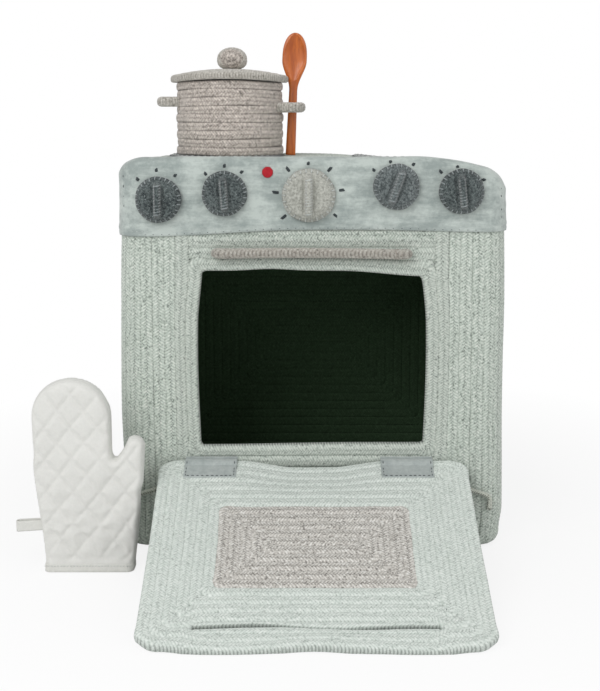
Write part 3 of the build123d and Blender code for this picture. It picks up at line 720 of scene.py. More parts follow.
def lay_floor():
    """A plain white floor that keeps a soft shadow close to the toy and fades out far from it."""
    reach, level = 6000.0, -0.4
    corners = [(-reach, -reach, level), (reach, -reach, level), (reach, reach, level), (-reach, reach, level)]
    floor = build("floor", corners, np.array([[0, 1, 2, 3]]), smooth=False)
    material = bpy.data.materials.new("pale floor")
    material.use_nodes = True
    material.node_tree.nodes.clear()
    place = Socket(material.node_tree).make("ShaderNodeTexCoord", output=3)
    distance = place.make("ShaderNodeVectorMath", {"operation": "LENGTH"}, output=1, i0=place)
    fade = ((distance - 0.3) * 2.4).clamped()
    matt = place.make("ShaderNodeBsdfDiffuse", Color=(0.9, 0.9, 0.9, 1))
    glow = place.make("ShaderNodeEmission", Color=(1, 1, 1, 1), Strength=1.0)
    seen = place.make("ShaderNodeMixShader", i0=fade * 0.16 + 0.84, i1=matt, i2=glow)
    mixed = place.make("ShaderNodeMixShader", i0=place.make("ShaderNodeLightPath"), i1=matt, i2=seen)
    finish_tree(material.node_tree, "ShaderNodeOutputMaterial", mixed)
    floor.data.materials.append(material)


# ---------------------------------------------------------------- body rows
def side_half(z):
    """Half the body's width at a height."""
    return TOP_HALF + FLARE * (1 - np.asarray(z, float) / HEIGHT) * HEIGHT / (HEIGHT - BASE_RADIUS)


def plan_place(travel):
    """Point and outward direction on the body's plan outline, going right from the middle of the front."""
    for length, origin, heading, outward in (
        (MIDDLE_HALF, (0, FRONT_Y), (1, 0), (0, -1)),
        (CORNER_ARC, (MIDDLE_HALF, -SIDE_HALF), -math.pi / 2, None),
        (2 * SIDE_HALF, (TOP_HALF, -SIDE_HALF), (0, 1), (1, 0)),
        (CORNER_ARC, (MIDDLE_HALF, SIDE_HALF), 0.0, None),
        (MIDDLE_HALF, (MIDDLE_HALF, BACK_Y), (-1, 0), (0, 1)),
    ):
        if travel <= length:
            break
        travel -= length
    if outward is None:
        angle = heading + travel / UPRIGHT_RADIUS
        heading = outward = (math.cos(angle), math.sin(angle))
        travel = UPRIGHT_RADIUS
    return origin[0] + heading[0] * travel, origin[1] + heading[1] * travel, outward


def wall_profile(step):
    """Height, inset from the face and lean of a row from under the base to the top edge."""
    under = BASE_RADIUS - WALL / 2
    edge = 5.0
    corners = [(WALL / 2, 24.0)]
    corners += [
        (BASE_RADIUS - under * math.sin(t), under - under * math.cos(t))
        for t in np.linspace(math.pi / 2, 0, 7)
    ]
    corners += [
        (HEIGHT - 1.0 - edge + edge * math.sin(t) - WALL / 2, edge - edge * math.cos(t))
        for t in np.linspace(0, math.pi / 2, 5)
    ]
    z, inset = cut_path(lying(np.array(corners), 0.0), step)[:, :2].T
    lean = np.arctan2(np.gradient(inset), np.abs(np.gradient(z)) + 1e-6)
    return z, inset, np.clip(lean, -1.5, 1.5)


def upright_rows():
    """Upright rows round the walls, both ways from the opening frame's edges to the middle of the back."""
    coils = {"front_wall": Coil(front=9)}
    coils.update({f"{side}_wall": Coil(front=7, back=2) for side in ("left", "right", "back")})
    half_way = 2 * (MIDDLE_HALF + SIDE_HALF + CORNER_ARC)
    count = int(round((half_way - FRAME_ROWS_HALF) / ROW))
    pitch = (half_way - FRAME_ROWS_HALF) / count
    z, inset, lean = wall_profile(coils["front_wall"].step)
    corner_reach = front_high[1]
    for number in range(count):
        for hand in (-1, 1):
            x, y, normal = plan_place(FRAME_ROWS_HALF + (number + 0.5) * pitch)
            x, normal = hand * x, (hand * normal[0], normal[1])
            depth = WALL / 2 + inset
            flare = (side_half(z) - TOP_HALF) * smooth_step(abs(x), MIDDLE_HALF - 20, TOP_HALF)
            path = np.column_stack([x - normal[0] * depth + hand * flare, y - normal[1] * depth, z])
            path = wobble(path, np.array([-normal[1], normal[0], 0.0]))
            outward = np.column_stack([normal[0] * np.cos(lean), normal[1] * np.cos(lean), np.sin(lean)])
            if abs(y) > -corner_reach:
                node = "front_wall" if y < 0 else "back_wall"
            else:
                node = "left_wall" if x < 0 else "right_wall"
            coils[node].cord(path, outward, pitch / 2 + SQUEEZE, WALL / 2)
    return coils


def front_cross_rows(coil):
    """Level rows under the opening frame, and one above it, between the upright rows."""
    low, rows = opening_low[2] - 13.0, 7
    pitch = (low - WALL / 2) / rows
    heights = [(low - (number + 0.5) * pitch, pitch) for number in range(rows)]
    heights += [(z + ROW / 2, ROW) for z in np.arange(opening_high[2], hob_low[2], ROW)]
    for z, pitch in heights:
        y = FRONT_Y + WALL / 2 + max(0.0, BASE_RADIUS * 0.5 - z) ** 2 / 12.0
        path = cut_path([(-FRAME_ROWS_HALF, y, z), (FRAME_ROWS_HALF, y, z)], coil.step)
        coil.cord(wobble(path, (0, 0, 1)), (0, -1, 0), pitch / 2 + SQUEEZE, WALL / 2)


def make_walls():
    """Front, side and back walls of upright rows, with the level rows of the front."""
    coils = upright_rows()
    front_cross_rows(coils["front_wall"])
    for node, coil in coils.items():
        seated(coil.finish(node.replace("wall", "rows"), "sage", settle), "oven", [node])


def ring_rows(coil, middle, halves, pitch, radius, lay, level, outward, thick, wander=0.0, arc_steps=9):
    """Concentric rows that fill a panel from its rim inwards; returns what half sizes are left open."""
    middle, left = np.asarray(middle, float), np.asarray(halves, float)
    while min(left) - pitch / 2 >= 1.0:
        half = left - pitch / 2
        corner = radius(halves[0] - half[0])
        (low_u, low_v), (high_u, high_v) = middle - half, middle + half
        loop = rounded_loop(low_u, high_u, low_v, high_v, corner, arc_steps)
        path = cut_path(lay(loop, level), coil.step, True)
        if wander:
            path = wobble(path, outward, wander)
        coil.cord(path, outward, pitch / 2 + SQUEEZE, thick / 2, True, both_sides=bool(wander))
        left = left - pitch
    return left


def flat_coil(coil, half_x, half_y, level, outward):
    """Rows that fill a level panel, with a straight one in its middle."""
    across, gap = ring_rows(
        coil, (0, 0), (half_x, half_y), ROW, lambda off: max(22.0 - off, ROW * 0.6),
        lying, level, outward, WALL
    )
    if gap > 0.5:
        ends = [(2.0 - across, 0.0, level), (across - 2.0, 0.0, level)]
        coil.cord(cut_path(ends, coil.step), outward, gap + SQUEEZE, WALL / 2)


def make_hob_and_base():
    """Hob and base, each coiled from its rim to its middle."""
    hob = Coil(front=7, back=2)
    flat_coil(hob, TOP_HALF - 8.5, BACK_Y - 8.5, HEIGHT - WALL / 2, (0, 0, 1))
    seated(hob.finish("hob_rows", "sage", settle), "oven", ["hob_top"])
    base = Coil(STRAND * 1.5, front=6, back=2)
    flat_coil(base, TOP_HALF - 16.0, BACK_Y - 20.0, WALL / 2, (0, 0, -1))
    seated(base.finish("base_rows", "sage"), "oven", ["base_panel"])


# ---------------------------------------------------------------- opening frame and lining
OPENING_HALF = 126.0
OPENING_BOTTOM, OPENING_TOP = 124.0, 321.0
FRAME_ROW_RISE = 6.3     # half the height of the frame's rows above the opening


def pull_opening(points):
    """The opening's edge is pulled slightly out of square, and sags with the body."""
    moved = points.copy()
    x, z = points[:, 0], points[:, 2]
    bow = np.sin(np.clip((z - OPENING_BOTTOM) / (OPENING_TOP - OPENING_BOTTOM), 0, 1) * math.pi)
    near = 1 - smooth_step(np.abs(np.abs(x) - OPENING_HALF), 4.0, 40.0)
    moved[:, 0] += np.sign(x) * (2.6 * bow - 3.5 * smooth_step(z, OPENING_TOP - 60, OPENING_TOP + 4)) * near
    low_edge, top_edge = (
        1 - smooth_step(np.abs(z - edge), 4.0, 20.0) for edge in (OPENING_BOTTOM, OPENING_TOP)
    )
    moved[:, 2] -= (0.8 + 2.4 * smooth_step(-x, -60.0, OPENING_HALF)) * low_edge
    moved[:, 2] -= 6.0 * smooth_step(x, 30.0, OPENING_HALF) * top_edge
    moved[:, 2] += 2.0 * np.exp(-(((x + 45) / 28.0) ** 2)) * top_edge
    return settle(moved)


def make_frame():
    """Edge rows round the opening, with more rows above it behind the bar."""
    coil = Coil(4.6, front=9, flatness=0.45)
    thick = (opening_high[1] - opening_low[1]) / 2
    level = (opening_high[1] + opening_low[1]) / 2
    side = (FRAME_ROWS_HALF + 1.0 - OPENING_HALF) / 4
    below = (OPENING_BOTTOM - opening_low[2]) / 2
    above = FRAME_ROW_RISE
    for sideways, down, up in ((side, below, above), (side * 3 - 0.2, below * 3 - 0.2, above * 11 - 0.3)):
        half = OPENING_HALF + sideways
        loop = rounded_loop(-half, half, OPENING_BOTTOM - down, OPENING_TOP + up, 4.0 + sideways * 0.25)
        path = cut_path(standing(loop, level), coil.step, closed=True)
        width = np.where(path[:, 2] > OPENING_TOP + 1, above, side) + SQUEEZE
        coil.cord(path, (0, -1, 0), width, thick, closed=True)
    half = OPENING_HALF + side * 2.4
    for number in (3, 5, 7, 9):
        z = OPENING_TOP + above * number
        path = cut_path([(-half, level + 0.8, z), (half, level + 0.8, z)], coil.step)
        coil.cord(path, (0, -1, 0), above + SQUEEZE, thick - 0.8)
    seated(coil.finish("opening_rows", "frame", pull_opening), "oven", ["opening_frame"])


def make_lining():
    """Dark green braid inside: a back of concentric rows, and plain long rows on the other faces."""
    pitch, thick = 11.3, 8.0
    middle, halves = node_middle("cavity_back")
    coil = Coil(relief=0.2, front=7, back=2, flatness=0.3)
    ring_rows(coil, middle[::2], halves[::2], pitch, lambda off: 5.0, standing, middle[1], (0, -1, 0), thick)
    seated(coil.finish("cavity_back_rows", "dark"), "oven", ["cavity_back"])
    for node, outward in (
        ("cavity_floor", (0, 0, 1)), ("cavity_ceiling", (0, 0, -1)),
        ("cavity_left", (1, 0, 0)), ("cavity_right", (-1, 0, 0)),
    ):
        low, high = node_box(node)
        coil = Coil(STRAND * 1.5, front=6, back=2)
        upright = outward[2] == 0
        start, end = (low[2], high[2]) if upright else (low[0], high[0])
        rows = int(round((end - start) / pitch))
        width = (end - start) / rows
        for number in range(rows):
            place = start + (number + 0.5) * width
            if upright:
                x, z = np.sign(low[0]) * (side_half(place) - WALL - thick / 2), place
            else:
                x, z = place, (low[2] + high[2]) / 2
            path = cut_path([(x, low[1], z), (x, high[1], z)], coil.step)
            coil.cord(path, outward, width / 2 + SQUEEZE, thick / 2)
        seated(coil.finish(node + "_rows", "dark"), "oven", [node])


# ---------------------------------------------------------------- control panel
PANEL_THICK = 2.0
PANEL_RADIUS = TOP_RADIUS + PANEL_THICK
PANEL_RETURN = 46.0      # length round the side, past the corner's curve
PANEL_HEM = 14.0         # turned in over the hob
PANEL_LOW = node_box("control_panel")[0][2]
HEM_LINE = 5.5           # stitched line above the lower edge
# each knob's sewn marks: their angles round it, and where they start and end from its middle
MARK_ANGLES = ((134, 93, 54), (133, 89, 50), (90, 128, 50, 174, 8, 220, 322), (143, 102, 51), (134, 97, 41))
MARK_REACH = ((30.0, 34.0), (28.0, 32.0), (33.0, 40.0), (28.5, 32.5), (30.0, 34.0))
KNOB_TURNS = (0.0, 4.0, 0.0, -20.0, 6.0)


def knob_place(number):
    """Where a knob turns: right of the middle, and above the floor."""
    return node_middle(f"knob_{number}_stem")[0][::2]


def panel_place(travel, offset=PANEL_THICK):
    """Point and outward direction on the panel's plan line, travel to the right from the middle."""
    x, y, normal = plan_place(abs(travel))
    hand = 1 if travel >= 0 else -1
    normal = np.array([hand * normal[0], normal[1]])
    return np.array([hand * x, y]) + normal * offset, normal


def panel_edge(x):
    """Height of the panel's lower edge: highest just right of the middle."""
    return PANEL_LOW + 7.5 - 7.5 * smooth_step(-x, 0.0, 190.0) - 2.5 * smooth_step(x, 60.0, 200.0)


def panel_column(travel, over):
    """Outer and inner points of the felt from its lower edge to the hob, at one place along it."""
    place, normal = panel_place(travel)
    low = panel_edge(place[0])
    straight = HEIGHT + PANEL_THICK - PANEL_RADIUS - low
    arc = PANEL_RADIUS * math.pi / 2
    total = straight + arc + PANEL_HEM - PANEL_RADIUS
    run = over * total
    flare = FLARE * (1 - low / HEIGHT) * smooth_step(abs(place[0]), 150.0, TOP_HALF) * np.sign(place[0])
    angle = np.clip((run - straight) / PANEL_RADIUS, 0, math.pi / 2)
    z = low + np.minimum(run, straight) + PANEL_RADIUS * np.sin(angle)
    inset = PANEL_RADIUS * (1 - np.cos(angle)) + np.clip(run - straight - arc, 0, None)
    line = np.exp(-(((run - HEM_LINE) / 0.9) ** 2)) * 1.3 + np.exp(-(run ** 2)) * 0.6
    line -= 1.3 * (1 - smooth_step(run, HEM_LINE - 0.6, HEM_LINE + 9.0))
    ripple = waves(np.full_like(run, travel * 0.8), run * 1.5, (84.0, 40.0), 5) * 0.9 - 0.6
    push = np.minimum(-line - 0.3 - ripple, 0.3 + 0.12 * run)
    tilt = np.column_stack([np.cos(angle)[:, None] * normal[None, :], np.sin(angle)])
    widened = flare * (1 - run / total)
    base = np.column_stack(
        [place[0] - normal[0] * inset + widened, place[1] - normal[1] * inset, z]
    )
    return base + tilt * push[:, None], base - tilt * (PANEL_THICK - 0.1)


def make_panel():
    """Felt panel wrapped over the top edge and round both front corners, hemmed along its lower edge."""
    half = MIDDLE_HALF + CORNER_ARC + PANEL_RETURN
    over = np.linspace(0, 1, 58)
    columns = [panel_column(travel, over) for travel in np.linspace(-half, half, 300)]
    outer, inner = (np.stack(grid, axis=1) for grid in zip(*columns))
    panel = closed_sheet("panel_felt", outer, inner, "panel", settle)
    seated(panel, "oven", ["control_panel"])
    sew_panel(half)
    area = sum(face.area for face in panel.data.polygons) / 2
    length = 2 * half * MM
    area / length / 0.985


def sew_panel(half):
    """The panel's edge seam, its hem and its corner tacks, and the sewn marks round each knob."""
    seam, hem, marks = Thread(0.5), Thread(0.45), Thread(1.0)
    for thread, rise, length, gap in ((seam, 2.0, 4.6, 4.2), (hem, HEM_LINE, 3.0, 2.4)):
        path, facing = [], []
        for travel in np.linspace(-half + 3, half - 3, 400):
            place, normal = panel_place(travel, PANEL_THICK - 0.35)
            path.append((*place, panel_edge(place[0]) + rise))
            facing.append((*normal, 0.0))
        thread.running_stitches(path, facing, length, gap)
    for hand in (-1, 1):
        (x, y), normal = panel_place(hand * (MIDDLE_HALF + 24.0), PANEL_THICK - 0.3)
        for z in np.arange(366.0, 430.0, 12.5):
            seam.stitch((x, y, z), (x + hand * 0.4, y, z + 4.2), (*normal, 0.0))
    for number, (angles, (near, far)) in enumerate(zip(MARK_ANGLES, MARK_REACH), 1):
        x, z = knob_place(number)
        middle = np.array([x, FRONT_Y - PANEL_THICK + 0.2, z])
        for angle in np.radians(angles):
            heading = np.array([math.cos(angle), 0.0, math.sin(angle)])
            reach = min(far, (HEIGHT - 3.0 - z) / max(heading[2], 0.05)) if angle < math.pi else far
            across = np.array([-heading[2], 0.0, heading[0]]) * 1.3
            start = middle + heading * near
            marks.stitch(start, middle + heading * reach, (0, -1, 0), rise=0.9)
            marks.stitch(start + across, middle + heading * (reach - 0.8) + across, (0, -1, 0), rise=0.7)
    for name, thread, finish in (
        ("panel_seam", seam, "thread"), ("panel_hem", hem, "pale_thread"), ("knob_marks", marks, "thread")
    ):
        seated(thread.finish(name, finish, settle), "oven")


# ---------------------------------------------------------------- knobs, dot and burners
def polar_grid(rings, spokes):
    """Points of a disc of radius one, from its middle out: across, up, share of the radius and angle."""
    even = np.linspace(0, 1, rings + 1)[1:]
    share = np.sqrt(even) * 0.35 + even * 0.65
    angle = spokes_of(spokes)
    u, v = (np.append(0.0, share[:, None] * wave(angle)[None, :]) for wave in (np.cos, np.sin))
    return u, v, np.hypot(u, v), np.arctan2(v, u)


def disc_faces(rings, spokes, start=0, flip=False):
    """Triangles at a disc's middle, and quads between its rings."""
    spoke = np.arange(spokes)
    following = (spoke + 1) % spokes
    inner = start + 1
    fan = np.column_stack([np.full(spokes, start), inner + spoke, inner + following])
    ring = inner + np.arange(rings - 1)[None, :] * spokes
    spoke, following = spoke[:, None], following[:, None]
    quads = np.stack([ring + spoke, ring + spokes + spoke, ring + spokes + following, ring + following], -1)
    quads = quads.reshape(-1, 4)
    return (fan[:, ::-1], quads[:, ::-1]) if flip else (fan, quads)


def between_loops(upper, lower):
    """Quads that join two loops of points."""
    return np.stack([np.roll(upper, -1), upper, lower, np.roll(lower, -1)], -1)[:, ::-1]


KNOB_THICK, KNOB_GRIP = 12.0, 8.0      # the pad, and its grip above that
KNOB_RINGS, KNOB_SPOKES, KNOB_SIDE_ROWS = 34, 120, 5
KNOB_STITCHES = 26


def knob_front(number, radius):
    """The pad's front: domed, dimpled at its rim, with a pinched grip across it."""
    u, v, share, angle = polar_grid(KNOB_RINGS, KNOB_SPOKES)
    rim = radius * (1 + 0.012 * np.sin(angle * 3 + number) + 0.008 * np.sin(angle * 7 + number * 2))
    rim = np.minimum(rim, radius * 1.02)
    u, v = u * rim, v * rim
    dome = KNOB_THICK * (1 - share ** 7 * 0.62)
    dimple = 0.7 * np.sin(angle * 22 + number) * smooth_step(share, 0.86, 1.0)
    end = np.clip((np.abs(v) - (radius - 11.0)) / 7.0, 0, 1)
    ridge = (1 - smooth_step(np.abs(u), 1.6, 4.6)) * (1 - end ** 2 * (3 - 2 * end))
    pinch = -1.5 * np.exp(-(((np.abs(u) - 5.4) / 1.3) ** 2)) * (1 - end)
    fuzz = waves(u, v, (9.0, 5.0), 20 + number) * 0.25
    rise = dome + ridge * KNOB_GRIP * (0.97 + 0.04 * np.sin(v / 5.0)) + pinch + fuzz + dimple * 0.5
    return np.column_stack([u, v, np.minimum(rise, KNOB_THICK + KNOB_GRIP)])


def make_knob(number):
    """Felt pad with a pinched grip, whip-stitched round its rim."""
    low, high = node_box(f"knob_{number}_pad")
    x, z = knob_place(number)
    turn = math.radians(KNOB_TURNS[number - 1])
    radius = (high[0] - low[0]) / 2

    def place(local):
        """From the knob's own right, up and out to the toy's millimetres."""
        right, up, out = np.atleast_2d(np.asarray(local, float)).T
        return np.column_stack([
            x + right * math.cos(turn) - up * math.sin(turn), high[1] - out,
            z + right * math.sin(turn) + up * math.cos(turn),
        ])

    front = knob_front(number, radius)
    back = front * (0.985, 0.985, 0.0)
    count = len(front)
    last = 1 + (KNOB_RINGS - 1) * KNOB_SPOKES
    side = []
    for part in np.arange(1, KNOB_SIDE_ROWS) / KNOB_SIDE_ROWS:
        bulge = 1 + 0.02 * math.sin(part * math.pi)
        side.append((front[last:] * (1 - part) + back[last:] * part) * (bulge, bulge, 1))
    fan, quads = disc_faces(KNOB_RINGS, KNOB_SPOKES)
    fan_back, quads_back = disc_faces(KNOB_RINGS, KNOB_SPOKES, count, flip=True)
    starts = [last] + [2 * count + row * KNOB_SPOKES for row in range(KNOB_SIDE_ROWS - 1)] + [count + last]
    loops = [start + np.arange(KNOB_SPOKES) for start in starts]
    sides = [between_loops(upper, lower) for upper, lower in zip(loops[:-1], loops[1:])]
    faces = [np.vstack([fan, fan_back]), np.vstack([quads, quads_back] + sides)]
    finish = {3: "main_knob", 4: "worn_knob"}.get(number, "knob")
    pad = build(f"knob_{number}_felt", place(np.vstack([front, back] + side)), faces, finish)
    seated(pad, f"knob_{number}", [f"knob_{number}_pad"])

    thread = Thread(0.62)
    for step in range(KNOB_STITCHES):
        angle = TURN * (step + rng.uniform(-0.15, 0.15)) / KNOB_STITCHES
        heading = np.array([math.cos(angle), math.sin(angle)])
        shares = ((rng.uniform(0.86, 0.9), 0.9), (0.965, 0.62), (1.0, 0.2))
        inner, middle, outer = (
            np.append(heading * radius * share, KNOB_THICK * rise) for share, rise in shares
        )
        run = place([inner - (0, 0, 0.8), inner + (0, 0, 0.1), middle, outer])
        thread.run(run, (place(np.append(heading, 0.6)) - place((0, 0, 0)))[0])
    top = KNOB_THICK + KNOB_GRIP
    for v in np.arange(9.0 - radius, radius - 9.5, 3.1):
        over = [
            (-3.4, v, top - 5.2), (-1.7, v + 0.4, top - 0.9), (1.7, v + 0.9, top - 0.9),
            (3.4, v + 1.3, top - 5.2),
        ]
        thread.run(place(over), (0, -1, 0))
    stitches = thread.finish(f"knob_{number}_stitches", "pale_thread" if number == 3 else "knob_thread")
    seated(stitches, f"knob_{number}")


def felt_disc(middle, radius, seed, up):
    """Points and faces of a cut felt disc with a rounded rim, lying on the hob or upright on the panel."""
    rings, spokes, thick = 16, 96, 2.0
    u, v, share, angle = polar_grid(rings, spokes)
    rim = radius * (1 - 0.006 * (1 + np.sin(angle * 4 + seed) * 0.6 + np.sin(angle * 9 + seed * 3) * 0.4))
    height = thick * (1 - 0.45 * smooth_step(share, 0.93, 1.0))
    height -= 0.15 * (1 + waves(u * radius, v * radius, (24.0, 11.0), seed))
    layers = []
    for rise in (height, np.zeros_like(height)):
        local = [u * rim, v * rim, rise] if up else [u * rim, -rise, v * rim]
        layers.append(np.column_stack(local) + middle)
    count = len(u)
    fan, quads = disc_faces(rings, spokes)
    fan_back, quads_back = disc_faces(rings, spokes, count, flip=True)
    edge = 1 + (rings - 1) * spokes + np.arange(spokes)
    side = between_loops(edge, edge + count)
    return np.vstack(layers), np.vstack([fan, fan_back]), np.vstack([quads, quads_back, side])


BURNERS = ((-98.5, 90.0, 134.0), (-100.0, 222.0, 104.0), (98.0, 76.0, 104.0), (92.0, 206.0, 140.0))
DOT_X, DOT_Z, DOT_RADIUS = -48.5, 429.0, 6.0


def make_burners():
    """Felt rings on the hob, each with two sewn circles. A burner is its x, its way back and its diameter."""
    points, fans, quads = [], [], []
    thread = Thread(0.5)
    for number, (x, back, diameter) in enumerate(BURNERS):
        middle, radius = np.array([x, FRONT_Y + back, HEIGHT]), diameter / 2
        disc, fan, quad = felt_disc(middle, radius, 30 + number, True)
        start = number * len(disc)
        points.append(disc)
        fans.append(fan + start)
        quads.append(quad + start)
        for share in (0.62, 0.94):
            angle = np.linspace(0, TURN, 160)
            ring = np.column_stack([np.cos(angle), np.sin(angle), np.zeros(160)]) * (radius * share)
            thread.running_stitches(middle + ring + (0, 0, 1.5), (0, 0, 1), 4.5, 4.0)
    discs = build("burner_felt", settle(np.vstack(points)), [np.vstack(fans), np.vstack(quads)], "burner")
    seated(discs, "oven", ["burner_discs"])
    seated(thread.finish("burner_stitches", "pale_thread", settle), "oven")


def make_dot():
    """The small red dot on the panel, sewn down round its rim."""
    middle = np.array([DOT_X, FRONT_Y - PANEL_THICK, DOT_Z])
    points, fan, quads = felt_disc(middle + (0, 0.1, 0), DOT_RADIUS, 50, False)
    dot = build("red_dot", settle(points), [fan[:, ::-1], quads[:, ::-1]], "red")
    seated(dot, "oven", ["indicator_dot"])
    thread = Thread(0.3)
    for angle in np.arange(0.3, TURN, math.pi / 4):
        heading = np.array([math.cos(angle), 0, math.sin(angle)])
        start, end = middle + heading * 4.3 - (0, 1.9, 0), middle + heading * 6.5 - (0, 0.6, 0)
        thread.stitch(start, end, (0, -1, 0), rise=0.3)
    seated(thread.finish("red_dot_stitches", "red", settle), "oven")


# ---------------------------------------------------------------- bar, straps and side cords
def make_bar():
    """Braided bar, bowed a little, sewn to the frame at both ends with wraps of thread."""
    low, high = node_box("bar_handle")
    radius = 6.0
    y, z = low[1] + radius, (low[2] + high[2]) / 2
    root = opening_low[1] + 3
    half = high[0] - radius

    def bow(x):
        """How far the bar rises at a place along it, and how far along that is."""
        share = np.clip((x + half) / (2 * half), 0, 1)
        return 1.2 * np.sin(share * math.pi) - 0.8 * (x + half) / (2 * half) - 0.2, share

    coil = Coil(6.4, relief=0.15, front=9, back=7, flatness=0.85)
    corners = [(-half, root, z), (-half, y, z), (half, y, z), (half, root, z)]
    route = rounded_route(corners, (8.5, 8.5), coil.step)
    rise, share = bow(route[:, 0])
    route[:, 2] += rise
    coil.cord(route, (0, 0, 1), radius * (0.99 - 0.1 * share), radius * 0.97, both_sides=True, taper=4)
    seated(coil.finish("bar_braid", "bar"), "oven", ["bar_handle"])
    thread = Thread(0.5)
    angle = np.linspace(0, TURN, 18)
    outward = np.column_stack([np.zeros(18), np.cos(angle), np.sin(angle)])
    for hand in (-1, 1):
        for wrap in range(3):
            x = hand * (half - 9.5 - wrap * 1.5)
            ring = outward * (0, 5.8, 5.7) + (x, y, z + bow(x)[0])
            ring[:, 0] += 0.4 * angle / 6.28
            thread.run(ring, outward)
    seated(thread.finish("bar_wraps", "bar_thread"), "oven")


STRAP_THICK = 2.5
STRAP_LOOP_RADIUS = 7.15
HINGE_Z = 100.0
HINGE_BEHIND = 8.4       # from the strap's foremost face back to the loop's middle


def make_strap(side):
    """Felt strip sewn to the wall, looped round the door's edge row and back under its own end."""
    low, high = node_box(f"hinge_strap_{side}")
    middle_x, half = (low[0] + high[0]) / 2, (high[0] - low[0]) / 2
    hinge = np.array([low[1] + HINGE_BEHIND, HINGE_Z])
    angle = np.linspace(0.35, 0.12 - TURN, 72)
    loop = hinge + STRAP_LOOP_RADIUS * np.column_stack([np.cos(angle), np.sin(angle)])
    patch_z = np.linspace(high[2] - 0.2, loop[0, 1] + 1.0, 9)
    line = np.vstack([np.column_stack([np.full(9, FRONT_Y - STRAP_THICK / 2), patch_z]), loop])
    normal, run = line_normals(line), travelled(line)
    outer, inner = [], []
    for share in np.linspace(-1, 1, 60):
        edge = 1 - 0.35 * smooth_step(abs(share), 0.95, 1.0)
        x = middle_x + share * (half + 0.25 * np.sin(run / 6.0 + (share > 0)))
        ripple = 0.12 * waves(np.full_like(run, share * half), run, (17.0, 9.0), 60)
        reach = STRAP_THICK / 2 * edge * 0.98
        outer.append(np.column_stack([x, line + normal * (reach + ripple)[:, None]]))
        inner.append(np.column_stack([x, line - normal * reach]))
    strap = closed_sheet(f"strap_{side}", np.stack(outer, axis=1), np.stack(inner, axis=1), "strap")
    seated(strap, "oven", [f"hinge_strap_{side}"])
    thread = Thread(0.45)
    sewn = np.linspace(middle_x - half + 2, middle_x + half - 2, 40)
    row = [(x, FRONT_Y - STRAP_THICK, high[2] - 3.2) for x in sewn]
    thread.running_stitches(row, (0, -1, 0), 3.4, 2.6)
    turn = np.linspace(math.pi * 0.62, math.pi * 1.35, 14)
    outward = np.column_stack([np.zeros(14), np.cos(turn), np.sin(turn)])
    for hand in (-1, 1):
        edge_line = outward * 8.3 + (middle_x + hand * (half - 2.4), *hinge)
        thread.running_stitches(edge_line, outward, 3.0, 2.4)
    seated(thread.finish(f"strap_{side}_stitches", "thread"), "oven")


def make_side_cord(side):
    """Thin plaited cord loop sewn to the wall beside the door."""
    low, high = node_box(f"side_cord_{side}")
    hand = -1 if side == "left" else 1
    radius = 2.5
    y, root = low[1] + radius, FRONT_Y + 4
    inner_x, outer_x = sorted((low[0], high[0]), key=abs)
    outer_x -= hand * radius
    inner_x += hand * radius
    top, bottom = high[2] - radius, low[2] + radius
    coil = Coil(3.6, front=7, back=5, flatness=0.8)
    corners = [
        (inner_x, root, top), (inner_x, y, top), (inner_x + hand * 12, y - 1.0, top - 3.5),
        (outer_x, y - 0.5, top - 8), (outer_x, y, bottom), (outer_x, root, bottom),
    ]
    route = rounded_route(corners, (2.2, 9.0, 5.5, 2.2), coil.step)
    coil.cord(route, (0.1, -0.3, 1.0), radius * 0.97, radius * 0.95, both_sides=True)
    seated(coil.finish(f"side_cord_{side}_braid", "cord"), "oven", [f"side_cord_{side}"])


# ---------------------------------------------------------------- door
DOOR_SLOPE = math.radians(21.2073)
HINGE_Y = FRONT_Y - 8.6
DOOR_THICK = 11.0
DOOR_LENGTH = 266.5
DOOR_HINGE_HALF, DOOR_FREE_HALF = 170.5, 169.0
WINDOW = (72.2, 191.0, 100.4)     # start, end and half width, from the hinge
SLOT = (233.4, 248.6, 111.0)      # near edge, far edge and half length
DOOR_ROWS = 6
HINGE_ROW = 5.6                   # half the row that the straps hold
TAB_SHIFT = -1.7                  # the strap ends, before the door hangs to the right
DOOR_HANG = (1.5, 2.8)            # to the right at the hinge, and how much more at the free edge
DOOR_SAG = (6.0, 4.5)             # outwards and down, midway between the straps


def on_door(points):
    """From door coordinates (across, away from the hinge, above the panel's middle) to the toy's own.

    The door hangs a little to the right and sags between its straps, its free corners turn up, and its free
    edge wanders.
    """
    across, away, above = points.T
    loose = smooth_step(away, SLOT[1] - 2.0, DOOR_LENGTH - 2.0)
    corner = smooth_step(np.abs(across), 100.0, DOOR_FREE_HALF)
    slack = (1 - smooth_step(np.abs(across), 20.0, 84.0)) * (1 - smooth_step(away, 8.0, 62.0))
    away = away + DOOR_SAG[0] * slack
    across = across + DOOR_HANG[0] + DOOR_HANG[1] * away / DOOR_LENGTH
    wander = 2.5 * np.sin(across * 0.0336 + 4.37) - 1.4 - 1.8 * corner
    above = above - DOOR_SAG[1] * slack + loose * corner * 0.5
    away = away + loose * wander
    y = HINGE_Y - away * math.cos(DOOR_SLOPE) - above * math.sin(DOOR_SLOPE)
    z = HINGE_Z - away * math.sin(DOOR_SLOPE) + above * math.cos(DOOR_SLOPE)
    return np.column_stack([across, y, np.maximum(z, 0.1)])


def slot_wave(x):
    """How the soft edges of the slot wander along it."""
    return np.sin(x / 23.0 + 0.6) * 1.5 + np.sin(x / 51.0) * 1.2


def under_straps(x):
    """1 where a strap holds the door's edge row, and 0 between."""
    share = np.zeros(len(x))
    for side in ("left", "right"):
        middle, half = node_middle(f"hinge_strap_{side}")
        share = np.maximum(share, 1 - smooth_step(np.abs(x - middle[0]), half[0], half[0] + 5.0))
    return share


